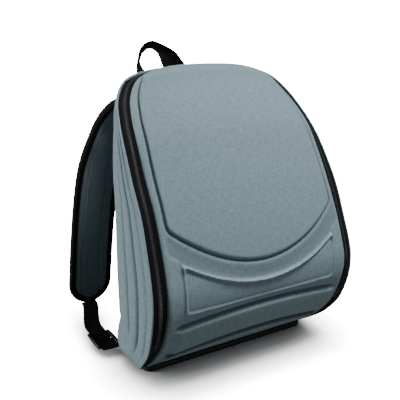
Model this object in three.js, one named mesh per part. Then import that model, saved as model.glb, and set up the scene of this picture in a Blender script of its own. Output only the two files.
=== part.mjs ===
// Hard shell backpack: two moulded halves joined by a zip that runs over the top.
// Millimetres. X to the wearer's left, Y to the back, Z up. The origin lies on the foot's underside.
import * as THREE from 'three';

// Driving dimensions of the bag
const width = 318;
const depth = 160;
const height = 402;
const shellWall = 4.5;
const wallProud = 1.8;
const clearance = 0.3;

// Bulge of the front over its own rim, and the rolled edge beside the zip
const frontBulge = 24;
const rimRise = 4;
const rimRound = 10;

// Relief pressed into the front shell
const panelInset = 15;
const panelRaise = 1.5;
const grooveDepth = 2.8;
const grooveReach = 3;
const smileRaise = 2.8;
const rollRaise = 4.6;
const hollowDepth = 4.4;

// Grooves and rolls along the side walls, and the notch above the heel
const sideTaper = 7;
const sideGroove = 3.2;
const sideRoll = 2;
const heelNotch = 10;
const heelNotchHeight = 58;
const heelNotchReach = 13;

// Zip between the two halves
const tapeThickness = 1.4;
const tapeRecess = 1;
const lipDepth = tapeRecess + tapeThickness + 0.6;
const chainWidth = 6;
const chainThickness = 2.4;
const zipEndHeight = 62;
const sliderHeight = 120;
const sliderLength = 15;
const sliderWidth = 9;
const sliderThickness = 1.6;
const pullLength = 26;

// Foot that the bag stands on, and the padded panel at the wearer's back
const footWidth = 270;
const footDepth = 88;
const footShift = 3;
const footHeight = 8.4;
const footCorner = 12;
const footChamfer = 2.5;
const backLean = 22;
const backFoot = 0.2375 * depth;
const panelShare = 0.76;
const panelNarrow = 0.82;
const panelPad = 10;

// Straps, webbing, buckles and the grab handle
const padWidth = 68;
const padThickness = 11;
const bindingWidth = 7;
const bindingThickness = 13;
const bindingGap = 0.8;
const webbingWidth = 25;
const webbingThickness = 1.8;
const lockLength = 42;
const lockWidth = 34;
const lockThickness = 6;
const handleWidth = 32;
const handleThickness = 2;

// Resolution of the faceted surfaces
const around = 64;

const halfWidth = width / 2;
const middleHeight = 0.535 * height;
const seatHeight = footHeight + clearance + wallProud;

// Right half of the two rims, from the bottom centre to the top centre.
// front and back hold x as a share of the half width, y of the depth, z of the height above the seat.
// corner is the share of the way to the middle that the rounded back edge takes.
const rims = [
  { front: [0, -0.252, 0], back: [0, -0.22, 0], corner: 0.06 },
  { front: [0.4, -0.252, 0], back: [0.42, -0.22, 0], corner: 0.06 },
  { front: [0.75, -0.255, 0], back: [0.8, -0.222, 0], corner: 0.07 },
  { front: [0.865, -0.3, 0.012], back: [0.9, -0.275, 0.006], corner: 0.14 },
  { front: [0.875, -0.455, 0.071], back: [0.965, -0.43, 0.052], corner: 0.2 },
  { front: [0.875, -0.605, 0.147], back: [0.98, -0.59, 0.129], corner: 0.27 },
  { front: [0.88, -0.7, 0.239], back: [0.99, -0.68, 0.226], corner: 0.31 },
  { front: [0.885, -0.72, 0.318], back: [0.99, -0.7, 0.305], corner: 0.33 },
  { front: [0.88, -0.68, 0.389], back: [0.985, -0.67, 0.372], corner: 0.34 },
  { front: [0.875, -0.6, 0.479], back: [0.975, -0.595, 0.459], corner: 0.34 },
  { front: [0.87, -0.49, 0.576], back: [0.967, -0.495, 0.561], corner: 0.34 },
  { front: [0.87, -0.37, 0.663], back: [0.965, -0.375, 0.643], corner: 0.33 },
  { front: [0.855, -0.225, 0.763], back: [0.948, -0.22, 0.739], corner: 0.31 },
  { front: [0.825, -0.075, 0.834], back: [0.912, -0.05, 0.821], corner: 0.27 },
  { front: [0.755, 0.08, 0.9], back: [0.845, 0.115, 0.893], corner: 0.21 },
  { front: [0.63, 0.16, 0.954], back: [0.71, 0.225, 0.947], corner: 0.15 },
  { front: [0.38, 0.18, 0.985], back: [0.44, 0.27, 0.973], corner: 0.1 },
  { front: [0, 0.185, 0.993], back: [0, 0.285, 0.979], corner: 0.08 },
];

// Bulge of the front face between its rims: up is a share of the patch, out of the full bulge
const bulges = [
  { up: 0, out: 0 },
  { up: 0.1, out: 0.1 },
  { up: 0.25, out: 0.28 },
  { up: 0.6, out: 0.28 },
  { up: 0.85, out: 0.4 },
  { up: 1, out: 0.4 },
];

// Lines across the lower front: height at the middle and at the side, as shares of the height
const panelFoot = { middle: 0.405, end: 0.515 };
const smileTop = { middle: 0.35, end: 0.44 };
const smileFoot = { middle: 0.284, end: 0.281 };
const upperHollow = { middle: 0.256, end: 0.234 };
const lowerHollow = { middle: 0.166, end: 0.132 };
const smileHalfWidth = 0.755;

// Strap from its anchor at the top of the back to the end of the pad, wearer's right side.
// x is a share of the half width, y of the depth, z of the height.
const strapPath = [
  { x: 0.3, y: 0.461, z: 0.825 },
  { x: 0.38, y: 0.545, z: 0.858 },
  { x: 0.47, y: 0.65, z: 0.85 },
  { x: 0.56, y: 0.75, z: 0.797 },
  { x: 0.64, y: 0.82, z: 0.715 },
  { x: 0.7, y: 0.92, z: 0.61 },
  { x: 0.745, y: 0.975, z: 0.475 },
  { x: 0.79, y: 1, z: 0.3 },
  { x: 0.815, y: 1.01, z: 0.18 },
  { x: 0.845, y: 1.005, z: 0.065 },
];

// Webbing from under the pad's end to the buckle, then from the buckle to the bag's heel
const webbingPath = [
  { x: 0.845, y: 1.02, z: 0.0617 },
  { x: 0.87, y: 0.9, z: 0.06 },
  { x: 0.93, y: 0.74, z: 0.05 },
  { x: 0.972, y: 0.6, z: 0.042 },
];
const lockPlace = { x: 0.9725, y: 0.34, z: 0.034 };
const heelPath = [
  { x: 0.9695, y: 0.18, z: 0.0293 },
  { x: 0.955, y: 0.16, z: 0.032 },
];

// Webbing loop of the handle: place as above, side is the share of its width that turns
// along X, tip the share that turns down at its far edge
const handlePath = [
  { x: -0.06, y: 0.383, z: 0.885, side: -1, tip: 0 },
  { x: -0.07, y: 0.42, z: 0.915, side: -0.97, tip: 0 },
  { x: -0.1, y: 0.465, z: 0.95, side: -0.85, tip: 0 },
  { x: -0.14, y: 0.49, z: 0.985, side: -0.65, tip: 0 },
  { x: -0.19, y: 0.495, z: 1.018, side: -0.5, tip: 0 },
  { x: -0.27, y: 0.495, z: 1.043, side: 0, tip: -0.2 },
  { x: -0.36, y: 0.495, z: 1.05, side: 0.5, tip: -0.3 },
  { x: -0.44, y: 0.49, z: 1.036, side: 0.5, tip: -0.2 },
  { x: -0.475, y: 0.49, z: 1, side: 0.5, tip: -0.1 },
  { x: -0.47, y: 0.485, z: 0.972, side: 0.65, tip: 0 },
  { x: -0.44, y: 0.46, z: 0.94, side: 0.85, tip: 0 },
  { x: -0.43, y: 0.42, z: 0.91, side: 0.97, tip: 0 },
  { x: -0.43, y: 0.383, z: 0.885, side: 1, tip: 0 },
];

// Colours of the real surfaces
const shellCloth = new THREE.MeshStandardMaterial({ color: '#84969a', roughness: 0.85, metalness: 0 });
const blackCloth = new THREE.MeshStandardMaterial({ color: '#101113', roughness: 0.9, metalness: 0 });
const padCloth = new THREE.MeshStandardMaterial({ color: '#343f43', roughness: 0.9, metalness: 0 });
const blackPlastic = new THREE.MeshStandardMaterial({ color: '#15171a', roughness: 0.45, metalness: 0 });
const blackMetal = new THREE.MeshStandardMaterial({ color: '#1c1d20', roughness: 0.4, metalness: 0.8 });

// Small helpers
const vec = (x, y, z) => new THREE.Vector3(x, y, z);
const clamp = (value, low, high) => Math.min(high, Math.max(low, value));
const mix = (a, b, share) => a + (b - a) * share;

function smooth(low, high, value) {
  const share = clamp((value - low) / (high - low), 0, 1);
  return share * share * (3 - 2 * share);
}

function bump(distance, reach) {
  return Math.exp(-((distance / reach) ** 2));
}

// Value at a share of the way through a list of number rows, along a smooth spline
function splineRow(rows, share, before, after) {
  const last = rows.length - 1;
  const place = clamp(share, 0, 1) * last;
  const index = Math.min(Math.floor(place), last - 1);
  const u = place - index;
  const row = (k) => (k < 0 ? before : k > last ? after : rows[k]);
  const [p0, p1, p2, p3] = [row(index - 1), row(index), row(index + 1), row(index + 2)];
  return p1.map((_, c) => {
    const linear = p2[c] - p0[c];
    const square = 2 * p0[c] - 5 * p1[c] + 4 * p2[c] - p3[c];
    const cube = 3 * p1[c] - p0[c] - 3 * p2[c] + p3[c];
    return p1[c] + 0.5 * (linear * u + square * u * u + cube * u ** 3);
  });
}

// Rims as millimetre rows: front x y z, back x y z, corner
const aboveSeat = (share) => seatHeight + share * (height - seatHeight);
const rimRows = rims.map(({ front, back, corner }) => [
  front[0] * halfWidth, front[1] * depth, aboveSeat(front[2]),
  back[0] * halfWidth, back[1] * depth, aboveSeat(back[2]), corner,
]);
const mirrorRow = (row) => row.map((value, c) => (c === 0 || c === 3 ? -value : value));

// The loop runs from 0 at the bottom centre over 1 at the top centre to 2, first on +X then on -X
function rimAt(loop) {
  const turn = ((loop % 2) + 2) % 2;
  const share = turn <= 1 ? turn : 2 - turn;
  const row = splineRow(rimRows, share, mirrorRow(rimRows[1]), mirrorRow(rimRows.at(-2)));
  const side = turn <= 1 ? 1 : -1;
  return {
    front: vec(side * row[0], row[1], row[2]),
    back: vec(side * row[3], row[4], row[5]),
    corner: row[6],
    side,
  };
}

// Where the front's patch turns from its bottom edge to its sides, and from its sides to its crest
const bottomTurn = 2.2 / 17;
const crestTurn = 14.8 / 17;

const frontRim = (loop) => rimAt(loop).front;
const sideRim = (up) => frontRim(mix(bottomTurn, crestTurn, up));
const bottomRim = (across) => frontRim(bottomTurn * across);
const crestLoop = (across) => 1 - (1 - crestTurn) * Math.abs(across);
const crestRim = (across) => frontRim(crestLoop(across)).multiply(vec(Math.sign(across), 1, 1));

// Patch between the four stretches of the front rim: across runs -1 to 1, up runs 0 to 1
function patchAt(across, up) {
  const side = sideRim(up);
  const low = sideRim(0);
  const high = sideRim(1);
  const point = bottomRim(across).multiplyScalar(1 - up).add(crestRim(across).multiplyScalar(up));
  point.x += across * (side.x - mix(low.x, high.x, up));
  point.y += side.y - mix(low.y, high.y, up);
  point.z += side.z - mix(low.z, high.z, up);
  return { point, side };
}

function bulgeAt(up) {
  const next = Math.max(1, bulges.findIndex((row) => row.up >= up));
  const [low, high] = [bulges[next - 1], bulges[next]];
  return frontBulge * mix(low.out, high.out, (up - low.up) / (high.up - low.up));
}

// Front face before its relief: the patch, bulged between its edges and rolled over beside them
function frontPlain(across, up) {
  const { point, side } = patchAt(across, up);
  const crest = crestRim(across).z - point.z;
  const foot = point.z - bottomRim(across).z;
  const ends = [side.x * (1 - Math.abs(across)), crest, foot];
  const bend = ends.reduce((sum, gap) => sum + clamp(1 - gap / rimRound, 0, 1) ** 2, 0);
  const swell = bulgeAt(up) * (1 - across * across) + rimRise * smooth(0, 0.2, up);
  point.y -= swell * Math.sqrt(Math.max(0, 1 - bend));
  return point;
}

const lineAt = (line, x) => height * mix(line.middle, line.end, (x / (smileHalfWidth * halfWidth)) ** 2);

// Height of the relief over the plain front face, at a place on the patch and its x and z
function frontRelief(across, up, { x, z }) {
  const sideGap = sideRim(up).x * (1 - Math.abs(across)) - panelInset;
  const panel = Math.min(sideGap, 0.85 * (z - lineAt(panelFoot, x)));
  const smile = lineAt(smileTop, x) - z;
  const smileEnd = smileHalfWidth * halfWidth - Math.abs(x);
  const upper = z - lineAt(upperHollow, x);
  const lower = z - lineAt(lowerHollow, x);
  const panelLift = panelRaise * smooth(0, 4, panel) - grooveDepth * bump(panel, grooveReach);
  const smileBody = smooth(0, 5, smile) * smooth(-1, 7, upper) * smooth(-3, 4, smileEnd);
  const between = smooth(-2, -12, upper) * smooth(2, 14, lower);
  const under = smooth(-2, -14, lower);
  const rolls = rollRaise * (between + 0.6 * under) * smooth(-14, 0, smileEnd);
  const hollows = hollowDepth * (0.6 * bump(upper, 6) + bump(lower, 8)) * smooth(-14, 4, smileEnd);
  return panelLift + smileRaise * smileBody + rolls - hollows;
}

// Normal of a surface of two parameters, pointing away from the inside point
function normalAt(surface, a, b, inside, [lowest, highest]) {
  const step = 0.006;
  const alongA = surface(a + step, b).sub(surface(a - step, b));
  const alongB = surface(a, Math.min(b + step, highest)).sub(surface(a, Math.max(b - step, lowest)));
  const normal = alongA.cross(alongB).normalize();
  return normal.dot(surface(a, b).sub(inside)) < 0 ? normal.negate() : normal;
}

const frontInside = vec(0, 0.3 * depth, middleHeight);

function frontNormal(across, up) {
  return normalAt(frontPlain, clamp(across, -0.99, 0.99), up, frontInside, [0, 1]);
}

function frontOuter(across, up) {
  const point = frontPlain(across, up);
  const ends = Math.min(1 - Math.abs(across), 1 - up, 0.3 * up);
  const lift = frontRelief(across, up, point) * smooth(0, 0.03, ends);
  return point.addScaledVector(frontNormal(across, up), lift);
}

// Inner skin: a wall's thickness behind the plain face, and square to the zip band at the rim
function frontInner(across, up) {
  const point = frontPlain(across, up);
  const side = across < 0 ? -1 : 1;
  const behind = (out) => point.addScaledVector(out, -shellWall);
  if (up === 0) return behind(bandFrame(bottomTurn * across).out);
  if (up === 1) return behind(bandFrame(side * crestLoop(across)).out);
  if (Math.abs(across) === 1) return behind(bandFrame(side * mix(bottomTurn, crestTurn, up)).out);
  return behind(frontNormal(across, up));
}

// Place up the patch where a column meets a line across the front
function upAtLine(across, line, shift) {
  let [low, high] = [0, 1];
  for (let k = 0; k < 20; k += 1) {
    const middle = (low + high) / 2;
    const { point } = patchAt(across, middle);
    if (point.z < lineAt(line, point.x) + shift) low = middle;
    else high = middle;
  }
  return low;
}

// Rows of the front's mesh follow the lines of its relief, so that they stay crisp
const reliefRows = [
  [lowerHollow, -24], [lowerHollow, -9], [lowerHollow, -4], [lowerHollow, 0], [lowerHollow, 4],
  [lowerHollow, 10], [upperHollow, -12], [upperHollow, -5], [upperHollow, 0], [upperHollow, 6],
  [smileFoot, 6], [smileTop, -5], [smileTop, 0], [panelFoot, -7], [panelFoot, -2.5], [panelFoot, 0],
  [panelFoot, 2.5], [panelFoot, 7],
];
const panelSteps = 11;
const edgeRows = [0.2 * rimRound, 0.6 * rimRound];

function frontUps(across) {
  const tall = crestRim(across).z - bottomRim(across).z;
  const [near, next] = edgeRows.map((gap) => gap / tall);
  const lines = reliefRows.map(([line, shift]) => upAtLine(across, line, shift));
  const from = lines.at(-1);
  const to = 1 - (1.6 * rimRound) / tall;
  const panel = Array.from({ length: panelSteps }, (_, k) => mix(from, to, (k + 1) / panelSteps));
  return [0, near, next, ...lines, ...panel, 1 - next, 1 - near, 1];
}

// Columns of the front's mesh, two of them on the panel's side groove
function frontAcross(up) {
  const wide = sideRim(up).x;
  const edge = 1 - panelInset / wide;
  const inner = [0, 0.2, 0.4, 0.6, 0.8].map((share) => share * (edge - 6 / wide));
  const outer = [-6, -2.5, 0, 2.5, 6].map((gap) => edge + gap / wide);
  const half = [...inner, ...outer, 1 - 0.3 * rimRound / wide, 1];
  return [...half.slice(1).reverse().map((value) => -value), ...half];
}

// Back plane of the tub, leaning a little
const backPlane = (z) => backFoot + backLean * (z / height);

// Tub of the back half: way 0 to 1 along the side wall, 1 to 2 round the corner, 2 to 3 to the middle
function tubPlain(loop, way) {
  const { back, corner } = rimAt(loop);
  const spoke = vec(back.x, 0, back.z - middleHeight);
  const reach = spoke.length();
  const sideness = smooth(0.3, 0.8, Math.abs(back.x) / halfWidth) * smooth(0.06, 0.2, back.z / height);
  const taper = (sideTaper / reach) * sideness;
  const space = backPlane(back.z) - back.y;
  const radius = Math.min(corner * reach, 0.75 * space);
  let keep = 1 - taper * clamp(way, 0, 1) ** 2;
  let y = mix(back.y, backPlane(back.z) - radius, clamp(way, 0, 1));
  if (way > 1) {
    const angle = (clamp(way - 1, 0, 1) * Math.PI) / 2;
    keep -= corner * (1 - Math.cos(angle));
    y += radius * Math.sin(angle);
  }
  if (way > 2) keep *= 3 - way;
  const point = vec(back.x * keep, y, middleHeight + spoke.z * keep);
  if (way > 1) point.y += (backPlane(point.z) - backPlane(back.z)) * smooth(1, 2, way);
  return point;
}

const tubInside = vec(0, -0.1 * depth, middleHeight);

function tubRelief(loop, way) {
  const { back } = rimAt(loop);
  const sideness = smooth(0.06, 0.13, back.z / height) * smooth(0.93, 0.84, back.z / height);
  const rolls = sideRoll * (bump(way - 0.22, 0.14) + bump(way - 0.6, 0.12) + 0.5 * bump(way - 0.95, 0.12));
  const grooves = sideGroove * (bump(way - 0.43, 0.05) + 0.8 * bump(way - 0.79, 0.05));
  const notch = heelNotch * smooth(0.6, 1.1, way) * smooth(2, 1.6, way);
  return sideness * (rolls - grooves) - notch * bump(back.z - heelNotchHeight + 12, heelNotchReach);
}

// Length of the side wall from its lip to the rounded back edge
function wallLength(loop) {
  return tubPlain(loop, 1).distanceTo(tubPlain(loop, 0));
}

// How far the wall stands clear of the tape that ends inside its lip, from 0 to 1
function lipHold(loop, way, normal) {
  const below = clamp(way, 0, 1) * wallLength(loop);
  return smooth(-0.05, 0.25, normal.dot(bandFrame(loop).along)) * smooth(lipDepth + 3, lipDepth, below);
}

function tubOuter(loop, way) {
  if (way > 2.95) return tubPlain(loop, 3).add(vec(0, wallProud, 0));
  const point = tubPlain(loop, way);
  const normal = normalAt(tubPlain, loop, Math.max(way, 0.02), tubInside, [0, 3]);
  const lip = smooth(0.06, 0, way) * (1 - lipHold(loop, way, normal));
  return point.addScaledVector(normal, tubRelief(loop, way) + wallProud * (1 - lip));
}

function tubInner(loop, way) {
  if (way > 2.95) return tubPlain(loop, 3).add(vec(0, wallProud - shellWall, 0));
  const point = tubPlain(loop, way);
  const normal = normalAt(tubPlain, loop, Math.max(way, 0.02), tubInside, [0, 3]);
  return point.addScaledVector(normal, (wallProud - shellWall) * (1 - lipHold(loop, way, normal)));
}

function tubInnerRows(loop) {
  const long = wallLength(loop);
  const first = Math.min(0.3, (lipDepth + 0.2) / long);
  const second = Math.min(0.55, (lipDepth + 3.4) / long);
  return [0, first, second, 1, 1.35, 1.7, 2, 2.5];
}

// Mesh assembly: triangles over rings of equal length, then one closed solid with faces out
class Faces {
  constructor() {
    this.points = [];
    this.triangles = [];
  }

  ring(points) {
    const start = this.points.length;
    this.points.push(...points);
    return points.map((_, k) => start + k);
  }

  band(a, b, flip = false) {
    a.forEach((_, k) => {
      const next = (k + 1) % a.length;
      this.triangle(a[k], a[next], b[next], flip);
      this.triangle(a[k], b[next], b[k], flip);
    });
  }

  fan(ring, middle, flip = false) {
    ring.forEach((_, k) => this.triangle(ring[k], ring[(k + 1) % ring.length], middle, flip));
  }

  triangle(a, b, c, flip) {
    this.triangles.push(...(flip ? [a, c, b] : [a, b, c]));
  }

  mesh(name, material) {
    const volume = this.volume();
    if (volume < 0) {
      for (let k = 0; k < this.triangles.length; k += 3) {
        [this.triangles[k + 1], this.triangles[k + 2]] = [this.triangles[k + 2], this.triangles[k + 1]];
      }
    }
    const geometry = new THREE.BufferGeometry();
    const position = this.points.flatMap((p) => [p.x, p.y, p.z]);
    geometry.setAttribute('position', new THREE.Float32BufferAttribute(position, 3));
    geometry.setIndex(this.triangles);
    geometry.computeVertexNormals();
    const mesh = new THREE.Mesh(geometry, material);
    mesh.name = name;
    return mesh;
  }

  volume() {
    let sum = 0;
    for (let k = 0; k < this.triangles.length; k += 3) {
      const [a, b, c] = this.triangles.slice(k, k + 3).map((index) => this.points[index]);
      sum += a.dot(b.clone().cross(c)) / 6;
    }
    return sum;
  }
}

const loops = Array.from({ length: around }, (_, k) => (2 * k) / around);

// Open shell with a wall: an outer and an inner skin, each closed at its middle, joined at the rim
function wallSolid(name, material, outer, outerRows, inner, innerRows) {
  const faces = new Faces();
  const skin = (surface, rows, flip) => {
    const shares = loops.map((loop) => rows(loop));
    const ringAt = (row) => faces.ring(loops.map((loop, k) => surface(loop, shares[k][row])));
    const rings = shares[0].map((_, row) => ringAt(row));
    for (let row = 1; row < rings.length; row += 1) faces.band(rings[row - 1], rings[row], flip);
    return rings;
  };
  const outside = skin(outer.surface, outerRows, false);
  const inside = skin(inner.surface, innerRows, true);
  const [outerMiddle] = faces.ring([outer.surface(0, outer.middle)]);
  const [innerMiddle] = faces.ring([inner.surface(0, inner.middle)]);
  faces.fan(outside.at(-1), outerMiddle, false);
  faces.fan(inside.at(-1), innerMiddle, true);
  faces.band(outside[0], inside[0], true);
  return faces.mesh(name, material);
}

// Solid swept through a list of convex sections, closed at its ends or joined into a loop
function sweepSolid(name, material, sections, looped = false) {
  const faces = new Faces();
  const rings = sections.map((points) => faces.ring(points));
  for (let k = 1; k < rings.length; k += 1) faces.band(rings[k - 1], rings[k]);
  if (looped) {
    faces.band(rings.at(-1), rings[0]);
    return faces.mesh(name, material);
  }
  const middle = (ring) => {
    const sum = ring.reduce((total, index) => total.add(faces.points[index]), vec(0, 0, 0));
    return faces.ring([sum.divideScalar(ring.length)])[0];
  };
  faces.fan(rings[0], middle(rings[0]), true);
  faces.fan(rings.at(-1), middle(rings.at(-1)), false);
  return faces.mesh(name, material);
}

// Shell on a grid of rows and columns, with an outer and an inner skin joined round the edge
function frontShell() {
  const faces = new Faces();
  const middleUps = frontUps(0.5);
  const grid = middleUps.map((nominal, row) => (
    frontAcross(nominal).map((across) => [across, frontUps(across)[row]])
  ));
  const outside = grid.map((row) => faces.ring(row.map(([across, up]) => frontOuter(across, up))));
  const inside = grid.map((row) => faces.ring(row.map(([across, up]) => frontInner(across, up))));
  const strip = (a, b, flip) => {
    for (let k = 1; k < a.length; k += 1) {
      faces.triangle(a[k - 1], a[k], b[k], flip);
      faces.triangle(a[k - 1], b[k], b[k - 1], flip);
    }
  };
  for (let row = 1; row < grid.length; row += 1) {
    strip(outside[row - 1], outside[row], false);
    strip(inside[row - 1], inside[row], true);
  }
  const column = (rows, last) => rows.map((row) => (last ? row.at(-1) : row[0]));
  strip(outside[0], inside[0], true);
  strip(outside.at(-1), inside.at(-1), false);
  strip(column(outside, false), column(inside, false), false);
  strip(column(outside, true), column(inside, true), true);
  return faces.mesh('front_shell', shellCloth);
}

function backShell() {
  const outerWays = [0, 0.1, 0.24, 0.37, 0.43, 0.49, 0.61, 0.74, 0.79, 0.85, 1, 1.2, 1.45, 1.72, 2, 2.5];
  const outer = { surface: tubOuter, middle: 3 };
  const inner = { surface: tubInner, middle: 3 };
  return wallSolid('back_shell', shellCloth, outer, () => outerWays, inner, tubInnerRows);
}

// Frame across the zip band: along runs from the front rim to the back rim, out leaves the bag
function bandFrame(loop) {
  const { front, back } = rimAt(loop);
  const step = 0.004;
  const ahead = rimAt(loop + step);
  const behind = rimAt(loop - step);
  const run = ahead.front.clone().add(ahead.back).sub(behind.front).sub(behind.back).normalize();
  const along = back.clone().sub(front);
  const gap = along.length();
  along.divideScalar(gap);
  const out = along.clone().cross(run).normalize();
  const middle = front.clone().add(back).multiplyScalar(0.5);
  if (out.dot(middle.sub(vec(0, 0.35 * depth, middleHeight))) < 0) out.negate();
  return { front, along, out, gap };
}

function bandSection(loop, from, to, top, bottom) {
  const { front, along, out, gap } = bandFrame(loop);
  const place = (share, rise) => front.clone().addScaledVector(along, share(gap)).addScaledVector(out, rise);
  return [place(from, top), place(to, top), place(to, bottom), place(from, bottom)];
}

// Loop place where the back rim passes a height on the right side
function loopAtHeight(z) {
  let [low, high] = [0.1, 0.6];
  for (let k = 0; k < 30; k += 1) {
    const middle = (low + high) / 2;
    if (rimAt(middle).back.z < z) low = middle;
    else high = middle;
  }
  return low;
}

const zipStart = loopAtHeight(zipEndHeight);
const zipSteps = 52;
const gussetSteps = 22;
const zipLoops = Array.from({ length: zipSteps + 1 }, (_, k) => mix(zipStart, 2 - zipStart, k / zipSteps));
const zipGap = 0.002;

function zipStrip(name, material, from, to, top, bottom) {
  return sweepSolid(name, material, zipLoops.map((loop) => bandSection(loop, from, to, top, bottom)));
}

const tapeTop = -tapeRecess;
const tapeBottom = -tapeRecess - tapeThickness;
const tapeEdge = clearance + 0.7;

function zipPieces() {
  const chainFrom = (gap) => gap / 2 - chainWidth / 2;
  const chainTo = (gap) => gap / 2 + chainWidth / 2;
  const chainTop = tapeTop + (chainThickness - tapeThickness) / 2;
  return [
    zipStrip('zip_tape_front', blackCloth, () => tapeEdge, (gap) => chainFrom(gap) - clearance,
      tapeTop, tapeBottom),
    zipStrip('zip_tape_back', blackCloth, (gap) => chainTo(gap) + clearance, (gap) => gap - tapeEdge,
      tapeTop, tapeBottom),
    zipStrip('zip_chain', blackPlastic, chainFrom, chainTo, chainTop, chainTop - chainThickness),
  ];
}

// Plain cloth that closes the band below the zip's two ends, round the bottom of the bag
function zipGusset() {
  const half = zipStart - zipGap;
  const sections = Array.from({ length: gussetSteps + 1 }, (_, k) => {
    const loop = mix(-half, half, k / gussetSteps);
    return bandSection(loop, () => tapeEdge, (gap) => gap - tapeEdge, tapeTop, tapeBottom);
  });
  return sweepSolid('zip_gusset', blackCloth, sections);
}

// Box with named edges in a frame of three directions
function blockSolid(name, material, origin, axes, size) {
  const corner = (a, b, c) => origin.clone()
    .addScaledVector(axes[0], a * size[0] / 2)
    .addScaledVector(axes[1], b * size[1] / 2)
    .addScaledVector(axes[2], c * size[2] / 2);
  const section = (a) => [corner(a, -1, -1), corner(a, 1, -1), corner(a, 1, 1), corner(a, -1, 1)];
  return sweepSolid(name, material, [section(-1), section(1)]);
}

// Slider at the closed end of the zip on the right side, its pull hanging down the tape
function slider() {
  const { front, along, out, gap } = bandFrame(loopAtHeight(sliderHeight));
  const chainTop = tapeTop + (chainThickness - tapeThickness) / 2;
  const rise = chainTop + clearance + sliderThickness / 2;
  const origin = front.clone().addScaledVector(along, gap / 2).addScaledVector(out, rise);
  const run = along.clone().cross(out).normalize();
  if (run.z > 0) run.negate();
  const bodySize = [sliderLength, sliderWidth, sliderThickness];
  const body = blockSolid('zip_slider', blackMetal, origin, [run, along, out], bodySize);
  const pullOrigin = origin.clone().addScaledVector(run, sliderLength / 2 + clearance + pullLength / 2);
  const pullSize = [pullLength, 0.5 * sliderWidth, sliderThickness];
  return [body, blockSolid('zip_pull', blackMetal, pullOrigin, [run, along, out], pullSize)];
}

// Foot: a rounded slab with a chamfered lower edge, its front under the shell's lower edge
function baseFoot() {
  const sides = 5;
  const outline = (inset) => {
    const points = [];
    [[1, 1], [-1, 1], [-1, -1], [1, -1]].forEach(([sx, sy], quarter) => {
      for (let k = 0; k <= sides; k += 1) {
        const angle = (Math.PI / 2) * (quarter + k / sides);
        const radius = footCorner - inset;
        const x = sx * (footWidth / 2 - footCorner) + radius * Math.cos(angle);
        const y = footShift + sy * (footDepth / 2 - footCorner) + radius * Math.sin(angle);
        points.push([x, y]);
      }
    });
    return points;
  };
  const level = (inset, z) => outline(inset).map(([x, y]) => vec(x, y, z));
  const levels = [level(footChamfer, 0), level(0, footChamfer), level(0, footHeight)];
  return sweepSolid('base_foot', blackCloth, levels);
}

// Padded panel on the wearer's side of the tub
function backPanel() {
  const faces = new Faces();
  const steps = 40;
  const ring = (keep, rise) => faces.ring(Array.from({ length: steps }, (_, k) => {
    const { back } = rimAt((2 * k) / steps);
    const x = back.x * keep * panelNarrow;
    const z = middleHeight + (back.z - middleHeight) * keep;
    return vec(x, backPlane(z) + wallProud + clearance + rise, z);
  }));
  const rings = [
    ring(panelShare * 0.98, 0), ring(panelShare, 0.35 * panelPad), ring(panelShare * 0.97, 0.8 * panelPad),
    ring(panelShare * 0.9, panelPad),
  ];
  for (let k = 1; k < rings.length; k += 1) faces.band(rings[k - 1], rings[k]);
  const seat = backPlane(middleHeight) + wallProud + clearance;
  const middle = (rise) => faces.ring([vec(0, seat + rise, middleHeight)])[0];
  faces.fan(rings[0], middle(0), true);
  faces.fan(rings.at(-1), middle(panelPad), false);
  return faces.mesh('back_panel', padCloth);
}

// Rows whose ends are tied to what carries them: the strap's anchor and the handle's feet lie on
// the back, and the webbings end at the lock
const onBack = (row, rise) => ({
  ...row, y: (backPlane(row.z * height) + wallProud + clearance + rise) / depth,
});
const lockEnd = (way) => ({
  x: lockPlace.x + 0.0025 * way,
  y: lockPlace.y + (way * (lockLength / 2 + 2 * clearance)) / depth,
  z: lockPlace.z + 0.004 * way,
});
const strapRows = [onBack(strapPath[0], panelPad + 0.42 * bindingThickness), ...strapPath.slice(1)];
const webbingRows = [...webbingPath, lockEnd(1)];
const heelRows = [lockEnd(-1), ...heelPath];
const handleFoot = (row) => onBack(row, clearance + handleThickness * 0.7);
const handleRows = [handleFoot(handlePath[0]), ...handlePath.slice(1, -1), handleFoot(handlePath.at(-1))];

// Smooth path through rows of shares, mirrored by side
function pathPoint(rows, side, share) {
  const points = rows.map((row) => [side * row.x * halfWidth, row.y * depth, row.z * height]);
  const reflect = (a, b) => a.map((value, c) => 2 * value - b[c]);
  const before = reflect(points[0], points[1]);
  const after = reflect(points.at(-1), points.at(-2));
  return vec(...splineRow(points, share, before, after));
}

// Path as a curve measured by its length
function measuredPath(rows, side) {
  const fine = Array.from({ length: 161 }, (_, k) => pathPoint(rows, side, k / 160));
  const curve = new THREE.CatmullRomCurve3(fine);
  curve.arcLengthDivisions = 400;
  return { curve, length: curve.getLength() };
}

// Frame of a strap: across stays level, up leaves its face
function strapFrame(run, side) {
  const across = vec(1, 0.05 * side, 0).normalize();
  const up = across.clone().cross(run).normalize();
  return { across, up };
}

const strapSteps = 22;
const endSteps = 4;

// Places along the strap that the pad and its binding share, before the round end
function strapPlaces(length) {
  const straight = length - padWidth / 2;
  const start = bindingWidth + bindingGap;
  return Array.from({ length: strapSteps + 1 }, (_, k) => mix(start, straight, (k / strapSteps) ** 1.4));
}

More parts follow.
